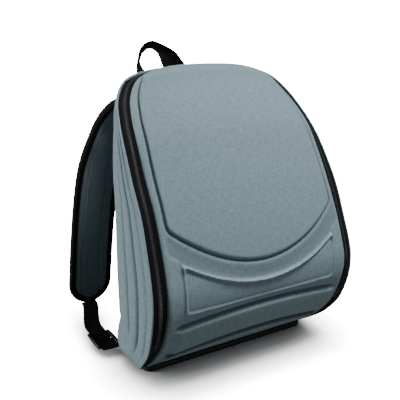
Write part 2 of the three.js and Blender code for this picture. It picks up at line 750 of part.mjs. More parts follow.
function strapPad(side, name) {
  const { curve, length } = measuredPath(strapRows, side);
  const core = padWidth / 2 - bindingWidth - bindingGap;
  const straight = length - padWidth / 2;
  const plan = strapPlaces(length).map((along) => [along, core]);
  for (let k = 1; k <= endSteps; k += 1) {
    const angle = (Math.PI / 2) * (k / endSteps);
    plan.push([straight + core * Math.sin(angle), Math.max(core * Math.cos(angle), 0.8)]);
  }
  const edge = 0.42 * padThickness;
  const face = padThickness / 2;
  const profile = [[-1, -edge], [-0.55, -face], [0.55, -face], [1, -edge],
    [1, edge], [0.55, face], [-0.55, face], [-1, edge]];
  const sections = plan.map(([along, half]) => {
    const point = curve.getPointAt(along / length);
    const { across, up } = strapFrame(curve.getTangentAt(along / length), side);
    const place = ([w, rise]) => point.clone().addScaledVector(across, w * half).addScaledVector(up, rise);
    return profile.map(place);
  });
  return sweepSolid(name, padCloth, sections);
}

// Bound edge: a flat loop round the pad, square at the anchor and round at the lower end
function strapBinding(side, name) {
  const { curve, length } = measuredPath(strapRows, side);
  const half = padWidth / 2 - bindingWidth / 2;
  const straight = length - padWidth / 2;
  const places = [bindingWidth / 2, ...strapPlaces(length)];
  const round = Array.from({ length: 2 * endSteps - 1 }, (_, k) => {
    const angle = (Math.PI * (k + 1)) / (2 * endSteps);
    return [straight + half * Math.sin(angle), half * Math.cos(angle)];
  });
  const out = places.map((along) => [along, half]);
  const home = places.map((along) => [along, -half]).reverse();
  const plan = [...out, ...round, ...home];
  const unit = ([a, b]) => [a / Math.hypot(a, b), b / Math.hypot(a, b)];
  const sections = plan.map(([along, w], k) => {
    const ahead = plan[(k + 1) % plan.length];
    const behind = plan[(k + plan.length - 1) % plan.length];
    const before = unit([along - behind[0], w - behind[1]]);
    const after = unit([ahead[0] - along, ahead[1] - w]);
    const [da, dw] = unit([before[0] + after[0], before[1] + after[1]]);
    const miter = 1 / Math.max(0.6, da * before[0] + dw * before[1]);
    const corner = (edge, rise) => {
      const at = clamp((along - edge * dw * bindingWidth * miter / 2) / length, 0, 1);
      const { across, up } = strapFrame(curve.getTangentAt(at), side);
      return curve.getPointAt(at)
        .addScaledVector(across, w + (edge * da * bindingWidth * miter) / 2)
        .addScaledVector(up, (rise * bindingThickness) / 2);
    };
    const ring = [corner(-1, -1), corner(1, -0.7), corner(1, 0.7), corner(-1, 1)];
    return side < 0 ? ring.reverse() : ring;
  });
  return sweepSolid(name, blackCloth, sections, true);
}

function webbingStrip(name, rows, side, steps) {
  const { curve } = measuredPath(rows, side);
  const sections = Array.from({ length: steps + 1 }, (_, k) => {
    const point = curve.getPointAt(k / steps);
    const { across, up } = strapFrame(curve.getTangentAt(k / steps), side);
    const corner = (w, rise) => point.clone()
      .addScaledVector(across, (w * webbingWidth) / 2).addScaledVector(up, (rise * webbingThickness) / 2);
    return [corner(-1, -1), corner(1, -1), corner(1, 1), corner(-1, 1)];
  });
  return sweepSolid(name, blackCloth, sections);
}

// Ladder lock between the two webbings: a flat plate with its bars shown as ridges in the finish
function ladderLock(side, name) {
  const from = pathPoint(webbingRows, side, 1);
  const to = pathPoint(heelRows, side, 0);
  const run = to.clone().sub(from).normalize();
  const { across, up } = strapFrame(run, side);
  const origin = from.clone().add(to).multiplyScalar(0.5);
  const sections = [-0.5, -0.32, 0, 0.32, 0.5].map((place) => {
    const half = (lockWidth / 2) * (1 - 0.18 * smooth(0.2, 0.5, Math.abs(place)));
    const thick = (lockThickness / 2) * (1 - 0.5 * smooth(0.3, 0.5, Math.abs(place)));
    const point = origin.clone().addScaledVector(run, place * lockLength);
    const corner = (w, rise) => point.clone()
      .addScaledVector(across, w * half).addScaledVector(up, rise * thick);
    return [corner(-1, -0.6), corner(-0.8, -1), corner(0.8, -1), corner(1, -0.6),
      corner(1, 0.6), corner(0.8, 1), corner(-0.8, 1), corner(-1, 0.6)];
  });
  return sweepSolid(name, blackPlastic, sections);
}

function grabHandle() {
  const rows = handleRows.map((row) => [row.x * halfWidth, row.y * depth, row.z * height, row.side, row.tip]);
  const reflect = (a, b) => a.map((value, c) => 2 * value - b[c]);
  const before = reflect(rows[0], rows[1]);
  const after = reflect(rows.at(-1), rows.at(-2));
  const steps = 26;
  const at = (share) => splineRow(rows, clamp(share, 0, 1), before, after);
  const sections = Array.from({ length: steps + 1 }, (_, k) => {
    const share = k / steps;
    const [x, y, z, turn, tip] = at(share);
    const next = at(share + 0.01);
    const last = at(share - 0.01);
    const run = vec(next[0] - last[0], next[1] - last[1], next[2] - last[2]).normalize();
    const across = vec(turn, Math.sqrt(Math.max(0, 1 - turn * turn)), tip);
    across.addScaledVector(run, -across.dot(run)).normalize();
    const up = across.clone().cross(run).normalize();
    const corner = (w, rise) => vec(x, y, z)
      .addScaledVector(across, (w * handleWidth) / 2).addScaledVector(up, (rise * handleThickness) / 2);
    return [corner(-1, -1), corner(1, -1), corner(1, 1), corner(-1, 1)];
  });
  return sweepSolid('grab_handle', blackCloth, sections);
}

// Assembly
const backpack = new THREE.Group();
backpack.add(frontShell(), backShell(), ...zipPieces(), zipGusset(), ...slider());
backpack.add(baseFoot(), backPanel(), grabHandle());
[['left', -1], ['right', 1]].forEach(([label, side]) => {
  backpack.add(
    strapPad(side, `strap_pad_${label}`),
    strapBinding(side, `strap_binding_${label}`),
    webbingStrip(`strap_webbing_${label}`, webbingRows, side, 8),
    ladderLock(side, `ladder_lock_${label}`),
    webbingStrip(`heel_webbing_${label}`, heelRows, side, 3),
  );
});

export default backpack;
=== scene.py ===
"""Hard shell backpack: the moulded shells, zip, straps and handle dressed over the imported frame."""

import math

import bpy
import numpy as np
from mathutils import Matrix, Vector


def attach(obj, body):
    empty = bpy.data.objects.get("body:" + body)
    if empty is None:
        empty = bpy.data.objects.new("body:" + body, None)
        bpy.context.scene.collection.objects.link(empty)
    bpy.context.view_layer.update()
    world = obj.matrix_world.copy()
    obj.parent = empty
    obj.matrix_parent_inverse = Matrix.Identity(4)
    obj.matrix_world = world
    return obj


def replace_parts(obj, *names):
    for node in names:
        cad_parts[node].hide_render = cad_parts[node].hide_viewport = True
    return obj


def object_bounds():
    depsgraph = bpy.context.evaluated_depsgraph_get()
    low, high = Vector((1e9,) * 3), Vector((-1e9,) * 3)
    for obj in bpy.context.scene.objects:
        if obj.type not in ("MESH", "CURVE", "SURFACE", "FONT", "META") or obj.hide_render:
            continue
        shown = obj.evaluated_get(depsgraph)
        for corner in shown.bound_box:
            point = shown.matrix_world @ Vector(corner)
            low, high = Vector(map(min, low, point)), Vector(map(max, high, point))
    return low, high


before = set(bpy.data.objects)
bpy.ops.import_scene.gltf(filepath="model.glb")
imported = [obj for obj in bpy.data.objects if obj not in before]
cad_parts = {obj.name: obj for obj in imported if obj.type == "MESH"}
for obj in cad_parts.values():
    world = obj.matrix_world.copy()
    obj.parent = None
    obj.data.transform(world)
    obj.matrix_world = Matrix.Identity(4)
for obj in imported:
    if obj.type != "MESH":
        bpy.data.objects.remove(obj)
cad_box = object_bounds()

MM = 0.001

# sizes of the bag, in millimetres
WIDTH, DEPTH, HEIGHT = 318, 160, 402
HALF = WIDTH / 2
MIDDLE = 0.535 * HEIGHT
WALL, PROUD, CLEAR = 4.5, 1.8, 0.3
FOOT_W, FOOT_D, FOOT_SHIFT, FOOT_H, FOOT_R = 270, 88, 3, 8.4, 12
SEAT = FOOT_H + CLEAR + PROUD
BACK_FOOT, BACK_LEAN, SIDE_TAPER = 38, 22, 7
BULGE, RIM_RISE, RIM_ROUND = 24, 4, 10
PANEL_INSET = 15
SMILE_HALF = 0.755 * HALF
TAPE_THICK, TAPE_RECESS, TAPE_EDGE = 1.4, 1, 1
CHAIN_W = 6
ZIP_END = 62
SLIDER_HEIGHT = 120
EDGING_TOP = 16
PAD_W, PAD_THICK, BINDING_W, BINDING_THICK, BINDING_GAP = 68, 11, 7, 13, 0.8
WEB_W, WEB_THICK = 25, 1.8
LOCK_L, LOCK_W = 42, 34
HANDLE_W, HANDLE_THICK = 32, 2
BACK_PANEL_THICK, SPINE_SIDE, CROSS_LOW, CROSS_HIGH = 10, 13, 150, 250

# the back panel's outline as shares of the rim's, and the angle in degrees that shows as a crease
BACK_PANEL_H, BACK_PANEL_W = 0.76, 0.82
SHARP_EDGE = 40

# front x y z, back x y z, corner: shares of the half width, the depth and the height over the seat
RIMS = [
    (0, -0.252, 0, 0, -0.22, 0, 0.06),
    (0.4, -0.252, 0, 0.42, -0.22, 0, 0.06),
    (0.75, -0.255, 0, 0.8, -0.222, 0, 0.07),
    (0.865, -0.3, 0.012, 0.9, -0.275, 0.006, 0.14),
    (0.875, -0.455, 0.071, 0.965, -0.43, 0.052, 0.2),
    (0.875, -0.605, 0.147, 0.98, -0.59, 0.129, 0.27),
    (0.88, -0.7, 0.239, 0.99, -0.68, 0.226, 0.31),
    (0.885, -0.72, 0.318, 0.99, -0.7, 0.305, 0.33),
    (0.88, -0.68, 0.389, 0.985, -0.67, 0.372, 0.34),
    (0.875, -0.6, 0.479, 0.975, -0.595, 0.459, 0.34),
    (0.87, -0.49, 0.576, 0.967, -0.495, 0.561, 0.34),
    (0.87, -0.37, 0.663, 0.965, -0.375, 0.643, 0.33),
    (0.855, -0.225, 0.763, 0.948, -0.22, 0.739, 0.31),
    (0.825, -0.075, 0.834, 0.912, -0.05, 0.821, 0.27),
    (0.755, 0.08, 0.9, 0.845, 0.115, 0.893, 0.21),
    (0.63, 0.16, 0.954, 0.71, 0.225, 0.947, 0.15),
    (0.38, 0.18, 0.985, 0.44, 0.27, 0.973, 0.1),
    (0, 0.185, 0.993, 0, 0.285, 0.979, 0.08),
]
BULGES = [(0, 0), (0.1, 0.1), (0.25, 0.28), (0.6, 0.28), (0.85, 0.4), (1, 0.4)]

# lines across the lower front: height in the middle and at the side, as shares of the height
PANEL_FOOT = (0.405, 0.515)
SMILE_TOP = (0.35, 0.44)
SMILE_FOOT = (0.284, 0.281)
UPPER_HOLLOW = (0.256, 0.234)
LOWER_HOLLOW = (0.166, 0.132)

# how far the mould raises or sinks each form of the front
PANEL_LIFT, PANEL_GROOVE = 1.6, 3.0
BEAD, BEAD_GROOVE, SMILE_LIFT, BAND_DIP = 3.4, 0.7, 1.2, 2.0
UPPER_ROLL, ROLL_SWELL, LOWER_ROLL = 2.8, 2.2, 3.2
UPPER_COVE, COVE_DISH, LOWER_COVE = 2.6, 2.0, 4.0

# rolls and grooves down the side walls: share of the way from zip to back edge, height, breadth
SIDE_ROLLS = [(0.22, 2.1, 0.14), (0.6, 2.1, 0.12), (0.95, 1.05, 0.12)]
SIDE_GROOVES = [(0.43, 3.8, 0.034), (0.79, 3.0, 0.032), (0.12, 1.2, 0.03)]
HEEL_NOTCH, HEEL_HEIGHT, HEEL_REACH = 10, 46, 13

# routes of the cloth strips: x as a share of the half width, y of the depth, z of the height
STRAP = [
    (0.3, 0.461, 0.825), (0.38, 0.545, 0.858), (0.47, 0.65, 0.85), (0.56, 0.75, 0.797),
    (0.64, 0.82, 0.715), (0.7, 0.92, 0.61), (0.745, 0.975, 0.475), (0.79, 1, 0.3),
    (0.815, 1.01, 0.18), (0.845, 1.005, 0.065),
]
WEBBING = [(0.845, 1.02, 0.0617), (0.87, 0.9, 0.06), (0.93, 0.74, 0.05), (0.972, 0.6, 0.042),
           (0.975, 0.475, 0.038)]
HEEL = [(0.97, 0.205, 0.03), (0.9695, 0.18, 0.0293), (0.955, 0.16, 0.032)]
HANDLE = [
    (-0.06, 0.383, 0.885, -1, 0), (-0.07, 0.42, 0.915, -0.97, 0), (-0.1, 0.465, 0.95, -0.85, 0),
    (-0.14, 0.49, 0.985, -0.65, 0), (-0.19, 0.495, 1.018, -0.5, 0), (-0.27, 0.495, 1.043, 0, -0.2),
    (-0.36, 0.495, 1.05, 0.5, -0.3), (-0.44, 0.49, 1.036, 0.5, -0.2), (-0.475, 0.49, 1, 0.5, -0.1),
    (-0.47, 0.485, 0.972, 0.65, 0), (-0.44, 0.46, 0.94, 0.85, 0), (-0.43, 0.42, 0.91, 0.97, 0),
    (-0.43, 0.383, 0.885, 1, 0),
]


# small arithmetic
def mix(a, b, share):
    return a + (b - a) * share


def smooth(low, high, value):
    share = np.clip((value - low) / (high - low), 0, 1)
    return share * share * (3 - 2 * share)


def bump(distance, reach):
    return np.exp(-((distance / reach) ** 2))


def unit(vectors):
    return vectors / np.maximum(np.linalg.norm(vectors, axis=-1, keepdims=True), 1e-9)


def soft_min(*values, blend=2.0):
    """The smallest of several distances, with the corners between them rounded."""
    total = sum(np.exp(-np.asarray(value) / blend) for value in values)
    return -blend * np.log(total)


def spline(rows, share, before, after):
    """Rows of numbers read along a smooth spline, share 0 at the first row and 1 at the last."""
    table = np.vstack([before, rows, after]).astype(float)
    last = len(rows) - 1
    place = np.clip(share, 0, 1) * last
    index = np.minimum(np.floor(place).astype(int), last - 1)
    u = (place - index)[..., None]
    p0, p1, p2, p3 = (table[index + k] for k in range(4))
    return p1 + 0.5 * ((p2 - p0) * u + (2 * p0 - 5 * p1 + 4 * p2 - p3) * u**2
                       + (3 * p1 - p0 - 3 * p2 + p3) * u**3)


# the two rims beside the zip
RIM_SIZE = [HALF, DEPTH, HEIGHT - SEAT]
RIM_ROWS = np.array(RIMS) * [*RIM_SIZE, *RIM_SIZE, 1] + [0, 0, SEAT, 0, 0, SEAT, 0]
MIRROR = np.array([-1, 1, 1, -1, 1, 1, 1])


def rim_at(loop):
    """Front and back rim: loop 0 is the bottom centre, 1 the top centre, 2 the bottom again over -X."""
    turn = np.mod(loop, 2)
    share = np.where(turn <= 1, turn, 2 - turn)
    row = spline(RIM_ROWS, share, RIM_ROWS[1] * MIRROR, RIM_ROWS[-2] * MIRROR)
    row[..., [0, 3]] *= np.where(turn <= 1, 1.0, -1.0)[..., None]
    return row[..., 0:3], row[..., 3:6], row[..., 6]


def band_frame(loop):
    """Frame across the zip band: start point, direction to the back rim, outward normal, breadth."""
    front, back, _ = rim_at(loop)
    ahead, behind = rim_at(loop + 0.004), rim_at(loop - 0.004)
    run = unit(ahead[0] + ahead[1] - behind[0] - behind[1])
    breadth = np.linalg.norm(back - front, axis=-1)
    along = (back - front) / breadth[..., None]
    out = unit(np.cross(along, run))
    middle = (front + back) / 2 - np.array([0, 0.35 * DEPTH, MIDDLE])
    out = out * np.where((out * middle).sum(-1) < 0, -1.0, 1.0)[..., None]
    return front, along, out, breadth


# front shell
BOTTOM_TURN, CREST_TURN = 2.2 / 17, 14.8 / 17


def side_rim(up):
    return rim_at(mix(BOTTOM_TURN, CREST_TURN, up))[0]


def crest_loop(across):
    return 1 - (1 - CREST_TURN) * np.abs(across)


def crest_rim(across):
    point = rim_at(crest_loop(across))[0]
    point[..., 0] *= np.sign(across)
    return point


def bottom_rim(across):
    return rim_at(BOTTOM_TURN * across)[0]


def front_plain(across, up):
    """The front without its relief: across runs from -1 to 1, and up from the bottom rim to the crest."""
    side, low, high = side_rim(up), side_rim(0 * up), side_rim(0 * up + 1)
    top, bottom = crest_rim(across), bottom_rim(across)
    point = mix(bottom, top, up[..., None])
    bow = side - mix(low, high, up[..., None])
    bow[..., 0] *= across
    point += bow
    ends = [side[..., 0] * (1 - np.abs(across)), top[..., 2] - point[..., 2], point[..., 2] - bottom[..., 2]]
    bend = sum(np.clip(1 - gap / RIM_ROUND, 0, 1) ** 2 for gap in ends)
    swell = BULGE * np.interp(up, *zip(*BULGES)) * (1 - across**2) + RIM_RISE * smooth(0, 0.2, up)
    point[..., 1] -= swell * np.sqrt(np.maximum(0, 1 - bend))
    return point


def line_at(line, x):
    return HEIGHT * mix(line[0], line[1], (x / SMILE_HALF) ** 2)


def front_relief(across, up, x, z):
    """What the mould presses into the front: height over the plain face, and painted shading: painted shade
    in its grooves and coves, painted highlight on its crests.
    """
    side_gap = side_rim(up)[..., 0] * (1 - np.abs(across))
    below_panel = line_at(PANEL_FOOT, x) - z
    above_smile = z - line_at(SMILE_TOP, x)
    end_gap = SMILE_HALF - np.abs(x)
    upper = z - line_at(UPPER_HOLLOW, x)
    lower = z - line_at(LOWER_HOLLOW, x)
    # the cosine of a line's slope turns a height over it into the distance from it
    panel = soft_min(side_gap - PANEL_INSET, -0.87 * below_panel, blend=2.5)
    smile_foot = 0.97 * (z - line_at(SMILE_FOOT, x))
    smile = soft_min(-0.9 * above_smile, end_gap - 1, smile_foot, blend=2.2)
    # the smile's rim is crisp along its top and fades towards its foot
    crisp = 0.35 + 0.65 * smooth(14, 2, -0.9 * above_smile)
    # the rolls and coves of the lower front run out beside the smile's ends
    curl = smooth(-13, 1, end_gap)
    dip = smooth(-2, 15, below_panel) * smooth(0, 5, above_smile) * smooth(0, 12, side_gap - 4)

    height = PANEL_LIFT * smooth(-1, 5, panel) - PANEL_GROOVE * bump(panel, 2) - BAND_DIP * dip
    height += crisp * (BEAD * bump(smile - 1.4, 1.5) - BEAD_GROOVE * bump(smile - 4.4, 1.5))
    height += SMILE_LIFT * (0.4 + 0.6 * crisp) * smooth(-1.5, 1.5, smile)
    roll = UPPER_ROLL + ROLL_SWELL * np.clip(-upper / 33, 0, 1)
    height += curl * roll * smooth(0, -4, upper) * smooth(-4, 3, lower)
    height += curl * LOWER_ROLL * smooth(-8, -15, lower) * smooth(12, 26, z - bottom_rim(across)[..., 2])
    height -= curl * (UPPER_COVE * bump(upper - 1.2, 2.2) + COVE_DISH * bump(upper - 6, 7))
    height -= curl * LOWER_COVE * bump(lower + 6, 3.2)

    # painted shade in the grooves and coves counts above zero, and painted highlight on the crests beside
    # them below zero
    pressed = 0.75 * bump(panel, 1.7) + 0.28 * dip
    pressed += curl * (0.85 * bump(upper - 1.2, 2) + 1.2 * bump(lower + 9.5, 4.6))
    pressed -= curl * 0.35 * bump(lower + 18, 4)
    # a painted shade line above the smile's bead, and a painted highlight along the bead
    pressed += crisp * 0.35 * bump(smile + 2.2, 1.4) * smooth(-3, 0, end_gap)
    pressed -= crisp * 0.55 * bump(smile - 0.7, 1.2)
    return height, np.clip(pressed, -0.6, 1)


def surface_normal(surface, a, b, inside, b_range):
    step = 0.004
    along_a = surface(a + step, b) - surface(a - step, b)
    along_b = surface(a, np.minimum(b + step, b_range[1])) - surface(a, np.maximum(b - step, b_range[0]))
    normal = unit(np.cross(along_a, along_b))
    away = ((surface(a, b) - inside) * normal).sum(-1)
    return normal * np.where(away < 0, -1.0, 1.0)[..., None]


FRONT_INSIDE = np.array([0, 0.3 * DEPTH, MIDDLE])


def front_face(across, up):
    """The plain face and its outward normal."""
    normal = surface_normal(front_plain, np.clip(across, -0.99, 0.99), up, FRONT_INSIDE, (0, 1))
    return front_plain(across, up), normal


def front_outer(across, up):
    point, normal = front_face(across, up)
    ends = np.minimum(np.minimum(1 - np.abs(across), 1 - up), 0.3 * up)
    lift = front_relief(across, up, point[..., 0], point[..., 2])[0] * smooth(0, 0.03, ends)
    return point + normal * lift[..., None]


def front_inner(across, up):
    point, normal = front_face(across, up)
    side = np.where(across < 0, -1, 1)
    loops = side * mix(BOTTOM_TURN, CREST_TURN, up)
    loops = np.where(up <= 0, BOTTOM_TURN * across, np.where(up >= 1, side * crest_loop(across), loops))
    edge = (up <= 0) | (up >= 1) | (np.abs(across) >= 1)
    normal = np.where(edge[..., None], band_frame(loops)[2], normal)
    return point - normal * WALL


# back shell: a tub whose wall runs from the zip round the back edge to the middle of the back
def back_plane(z):
    return BACK_FOOT + BACK_LEAN * (z / HEIGHT)


def tub_plain(loop, way):
    """The tub without its relief: way 0 to 1 is the side wall, to 2 the back edge, to 3 the back."""
    _, back, corner = rim_at(loop)
    spoke_x, spoke_z = back[..., 0], back[..., 2] - MIDDLE
    reach = np.hypot(spoke_x, spoke_z)
    sideness = smooth(0.3, 0.8, np.abs(spoke_x) / HALF) * smooth(0.06, 0.2, back[..., 2] / HEIGHT)
    wall = np.clip(way, 0, 1)
    radius = np.minimum(corner * reach, 0.75 * (back_plane(back[..., 2]) - back[..., 1]))
    angle = np.clip(way - 1, 0, 1) * math.pi / 2
    keep = 1 - SIDE_TAPER / reach * sideness * wall**2 - corner * (1 - np.cos(angle))
    keep = keep * np.where(way > 2, 3 - way, 1)
    y = mix(back[..., 1], back_plane(back[..., 2]) - radius, wall) + radius * np.sin(angle)
    z = MIDDLE + spoke_z * keep
    y += np.where(way > 1, (back_plane(z) - back_plane(back[..., 2])) * smooth(1, 2, way), 0)
    return np.stack([spoke_x * keep, y, z], -1)


def tub_relief(loop, way):
    """Rolls and sunken grooves that run down the side walls, and the notch above the heel."""
    z = rim_at(loop)[1][..., 2]
    sideness = smooth(0.07, 0.17, z / HEIGHT) * smooth(0.93, 0.84, z / HEIGHT)
    rolls = sum(height * bump(way - place, breadth) for place, height, breadth in SIDE_ROLLS)
    grooves = sum(depth * bump(way - place, breadth) for place, depth, breadth in SIDE_GROOVES)
    notch = HEEL_NOTCH * smooth(0.6, 1.1, way) * smooth(2, 1.6, way) * bump(z - HEEL_HEIGHT, HEEL_REACH)
    return sideness * (rolls - grooves) - notch


TUB_INSIDE = np.array([0, -0.1 * DEPTH, MIDDLE])


def tub_face(loop, way):
    """The tub's plain wall and its outward normal."""
    normal = surface_normal(tub_plain, loop, np.maximum(way, 0.02), TUB_INSIDE, (0, 3))
    centre = way > 2.95
    return tub_plain(loop, way), np.where(centre[..., None], np.array([0.0, 1.0, 0.0]), normal)


def tub_lip(loop, way, normal):
    """1 at the lip by the zip, which leaves room for the tape."""
    length = np.linalg.norm(tub_plain(loop, 0 * way + 1) - tub_plain(loop, 0 * way), axis=-1)
    below = np.clip(way, 0, 1) * length
    hold = TAPE_RECESS + TAPE_THICK + 0.6
    leaning = (normal * band_frame(loop)[1]).sum(-1)
    return smooth(-0.05, 0.25, leaning) * smooth(hold + 3, hold, below)


def tub_outer(loop, way):
    point, normal = tub_face(loop, way)
    lip = smooth(0.06, 0, way) * (1 - tub_lip(loop, way, normal))
    lift = tub_relief(loop, way) * (way < 2.9) + PROUD * (1 - lip)
    return point + normal * lift[..., None]


def tub_inner(loop, way):
    point, normal = tub_face(loop, way)
    lift = (PROUD - WALL) * (1 - tub_lip(loop, way, normal) * (way < 2.9))
    return point + normal * lift[..., None]


# meshes
def piece(name, points, quads, material, triangles, uv):
    """A smooth shaded mesh that rides on the bag; its points and its uv are in millimetres."""
    points = np.asarray(points, float).reshape(-1, 3) * MM
    mesh = bpy.data.meshes.new(name)
    mesh.from_pydata(points, [], quads.tolist() + np.asarray(triangles).tolist())
    corners = np.concatenate([np.ravel(quads), np.ravel(triangles)]).astype(int)
    layer = mesh.uv_layers.new(name="cloth")
    layer.data.foreach_set("uv", np.asarray(uv, float).reshape(-1, 2)[corners].ravel())
    mesh.validate()
    mesh.polygons.foreach_set("use_smooth", np.ones(len(mesh.polygons), bool))
    mesh.set_sharp_from_angle(angle=math.radians(SHARP_EDGE))
    mesh.materials.append(material)
    thing = bpy.data.objects.new(name, mesh)
    bpy.context.scene.collection.objects.link(thing)
    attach(thing, "root")
    return thing


def lattice(rows, columns, start=0, closed=False, flip=False):
    """Quads over a grid of points that is counted row by row."""
    index = start + np.arange(rows * columns).reshape(rows, columns)
    if closed:
        index = np.concatenate([index, index[:, :1]], 1)
    a, b, c, d = index[:-1, :-1], index[:-1, 1:], index[1:, 1:], index[1:, :-1]
    quads = np.stack([a, b, c, d], -1).reshape(-1, 4)
    return quads[:, ::-1] if flip else quads


def travelled(points, axis):
    """Millimetres travelled along one axis of a grid of points."""
    step = np.linalg.norm(np.diff(points, axis=axis), axis=-1)
    first = np.zeros_like(np.take(step, [0], axis))
    return np.cumsum(np.concatenate([first, step], axis), axis)


def edge_strip(fine, coarse, stride, flip):
    """Triangles between a fine edge and one with every stride-th of its points."""
    k = np.arange(len(fine) - 1)
    near = (k + stride // 2) // stride
    j = np.arange(len(coarse) - 1)
    turn = (j + 1) * stride - stride // 2
    triangles = np.concatenate([np.stack([fine[k], fine[k + 1], coarse[near]], -1),
                                np.stack([fine[turn], coarse[j + 1], coarse[j]], -1)])
    return triangles[:, ::-1] if flip else triangles


def two_skins(name, outer, inner, material, stride, closed=False):
    """A wall: a fine outer grid and an inner one with every stride-th point, joined round their edges."""
    rows, columns = outer.shape[:2]
    in_rows, in_columns = inner.shape[:2]
    count = rows * columns
    every = slice(None)
    quads = [lattice(rows, columns, 0, closed), lattice(in_rows, in_columns, count, closed, flip=True)]
    fine = np.arange(count).reshape(rows, columns)
    coarse = count + np.arange(in_rows * in_columns).reshape(in_rows, in_columns)
    if closed:
        fine, coarse = (np.concatenate([grid, grid[:, :1]], 1) for grid in (fine, coarse))
        edges = [(0, every, True)]
    else:
        edges = [(0, every, True), (-1, every, False), (every, 0, False), (every, -1, True)]
    triangles = [edge_strip(fine[a, b], coarse[a, b], stride, flip) for a, b, flip in edges]
    uv = []
    for grid in (outer, inner):
        across, up = travelled(grid, 1), travelled(grid, 0)
        middle = grid.shape[1] // 2
        uv.append(np.stack([across - across[:, middle:middle + 1], up], -1).reshape(-1, 2))
    points = np.concatenate([outer.reshape(-1, 3), inner.reshape(-1, 3)])
    quads, triangles, uv = (np.concatenate(part) for part in (quads, triangles, uv))
    return piece(name, points, quads, material, triangles, uv)


def swept(name, sections, material, looped=False):
    """A solid through a list of sections: rows of points, closed round each row."""
    sections = np.asarray(sections, float)
    rows, columns = sections.shape[:2]
    quads = [lattice(rows, columns, 0, True)]
    points = [sections.reshape(-1, 3)]
    triangles = []
    first = np.arange(columns)
    last = (rows - 1) * columns + first
    if looped:
        quads.append(np.stack([last, np.roll(last, -1), np.roll(first, -1), first], -1))
    else:
        points.append(np.stack([sections[0].mean(0), sections[-1].mean(0)]))
        low, high = rows * columns, rows * columns + 1
        triangles.append(np.stack([np.roll(first, -1), first, np.full(columns, low)], -1))
        triangles.append(np.stack([last, np.roll(last, -1), np.full(columns, high)], -1))
    along = travelled(sections.mean(1)[:, None], 0)[:, 0]
    around = travelled(sections, 1)
    uv = np.stack([around, np.broadcast_to(along[:, None], around.shape)], -1).reshape(-1, 2)
    if not looped:
        uv = np.concatenate([uv, [[0, 0], [0, along[-1]]]])
    faces = np.concatenate(triangles) if triangles else ()
    return piece(name, np.concatenate(points), np.concatenate(quads), material, faces, uv)


# materials
PLUS, TIMES, TIMES_PLUS = ({"operation": kind} for kind in ("ADD", "MULTIPLY", "MULTIPLY_ADD"))


def linear(code, gain=1.0):
    """An sRGB hex colour as linear red, green, blue and one, made so many times brighter."""
    values = [int(code[k:k + 2], 16) / 255 for k in (1, 3, 5)]
    return [gain * (v / 12.92 if v <= 0.04045 else ((v + 0.055) / 1.055) ** 2.4) for v in values] + [1]


def add(tree, kind, settings=None, **links):
    """Adds a node and gives its outputs: settings are its own properties, links are for its inputs."""
    node = tree.nodes.new("ShaderNode" + kind)
    for key, value in (settings or {}).items():
        if key == "stops":
            stops = node.color_ramp.elements
            while len(stops) < len(value):
                stops.new(0.5)
            for stop, (place, *colour) in zip(stops, value):
                stop.position = place
                stop.color = linear(*colour)
        else:
            setattr(node, key, value)
    for key, value in links.items():
        socket = node.inputs[int(key[2:]) if key[2:].isdigit() else key.replace("_", " ")]
        if isinstance(value, bpy.types.NodeSocket):
            tree.links.new(value, socket)
        else:
            socket.default_value = value
    return node.outputs


def new_material(name, slot, **finish):
    """A material with one principled shader, finished as given, and the tree for its pattern."""
    material = bpy.data.materials.new(name)
    material.use_nodes = True
    material["slot"] = slot
    for key, value in finish.items():
        material.node_tree.nodes["Principled BSDF"].inputs[key.replace("_", " ")].default_value = value
    return material, material.node_tree


def feed(tree, **sockets):
    """Links patterns to the principled shader's own inputs."""
    for key, socket in sockets.items():
        tree.links.new(socket, tree.nodes["Principled BSDF"].inputs[key.replace("_", " ")])


def dress(tree, colour, height, strength, depth, invert=False):
    """Gives a shader its colour, and a relief so many millimetres deep."""
    relief = add(tree, "Bump", {"invert": invert}, Strength=strength, Distance=depth * MM, Height=height)
    feed(tree, Base_Color=colour, Normal=relief[0])


def threads(tree, warp_spacing, weft_spacing, lean=0.0):
    """Warp and weft of a cloth, so many millimetres apart: 1 on a thread and 0 between two."""
    uv = add(tree, "UVMap", {"uv_map": "cloth"})
    scale = (math.pi / warp_spacing, math.pi / weft_spacing, 1)
    turned = add(tree, "Mapping", Vector=uv[0], Rotation=(0, 0, lean), Scale=scale)
    split = add(tree, "SeparateXYZ", Vector=turned[0])
    waves = [add(tree, "Math", {"operation": "SINE"}, in0=split[axis]) for axis in "XY"]
    return [add(tree, "Math", {"operation": "ABSOLUTE"}, in0=wave[0])[0] for wave in waves]


def slubs(tree, length, breadth):
    """Thick and thin places of the yarn, as long and as broad as given in millimetres."""
    uv = add(tree, "UVMap", {"uv_map": "cloth"})
    stretched = add(tree, "Mapping", Vector=uv[0], Scale=(1 / length, 1 / breadth, 1))
    return add(tree, "TexNoise", Vector=stretched[0], Scale=1.0, Detail=2.0)[0]


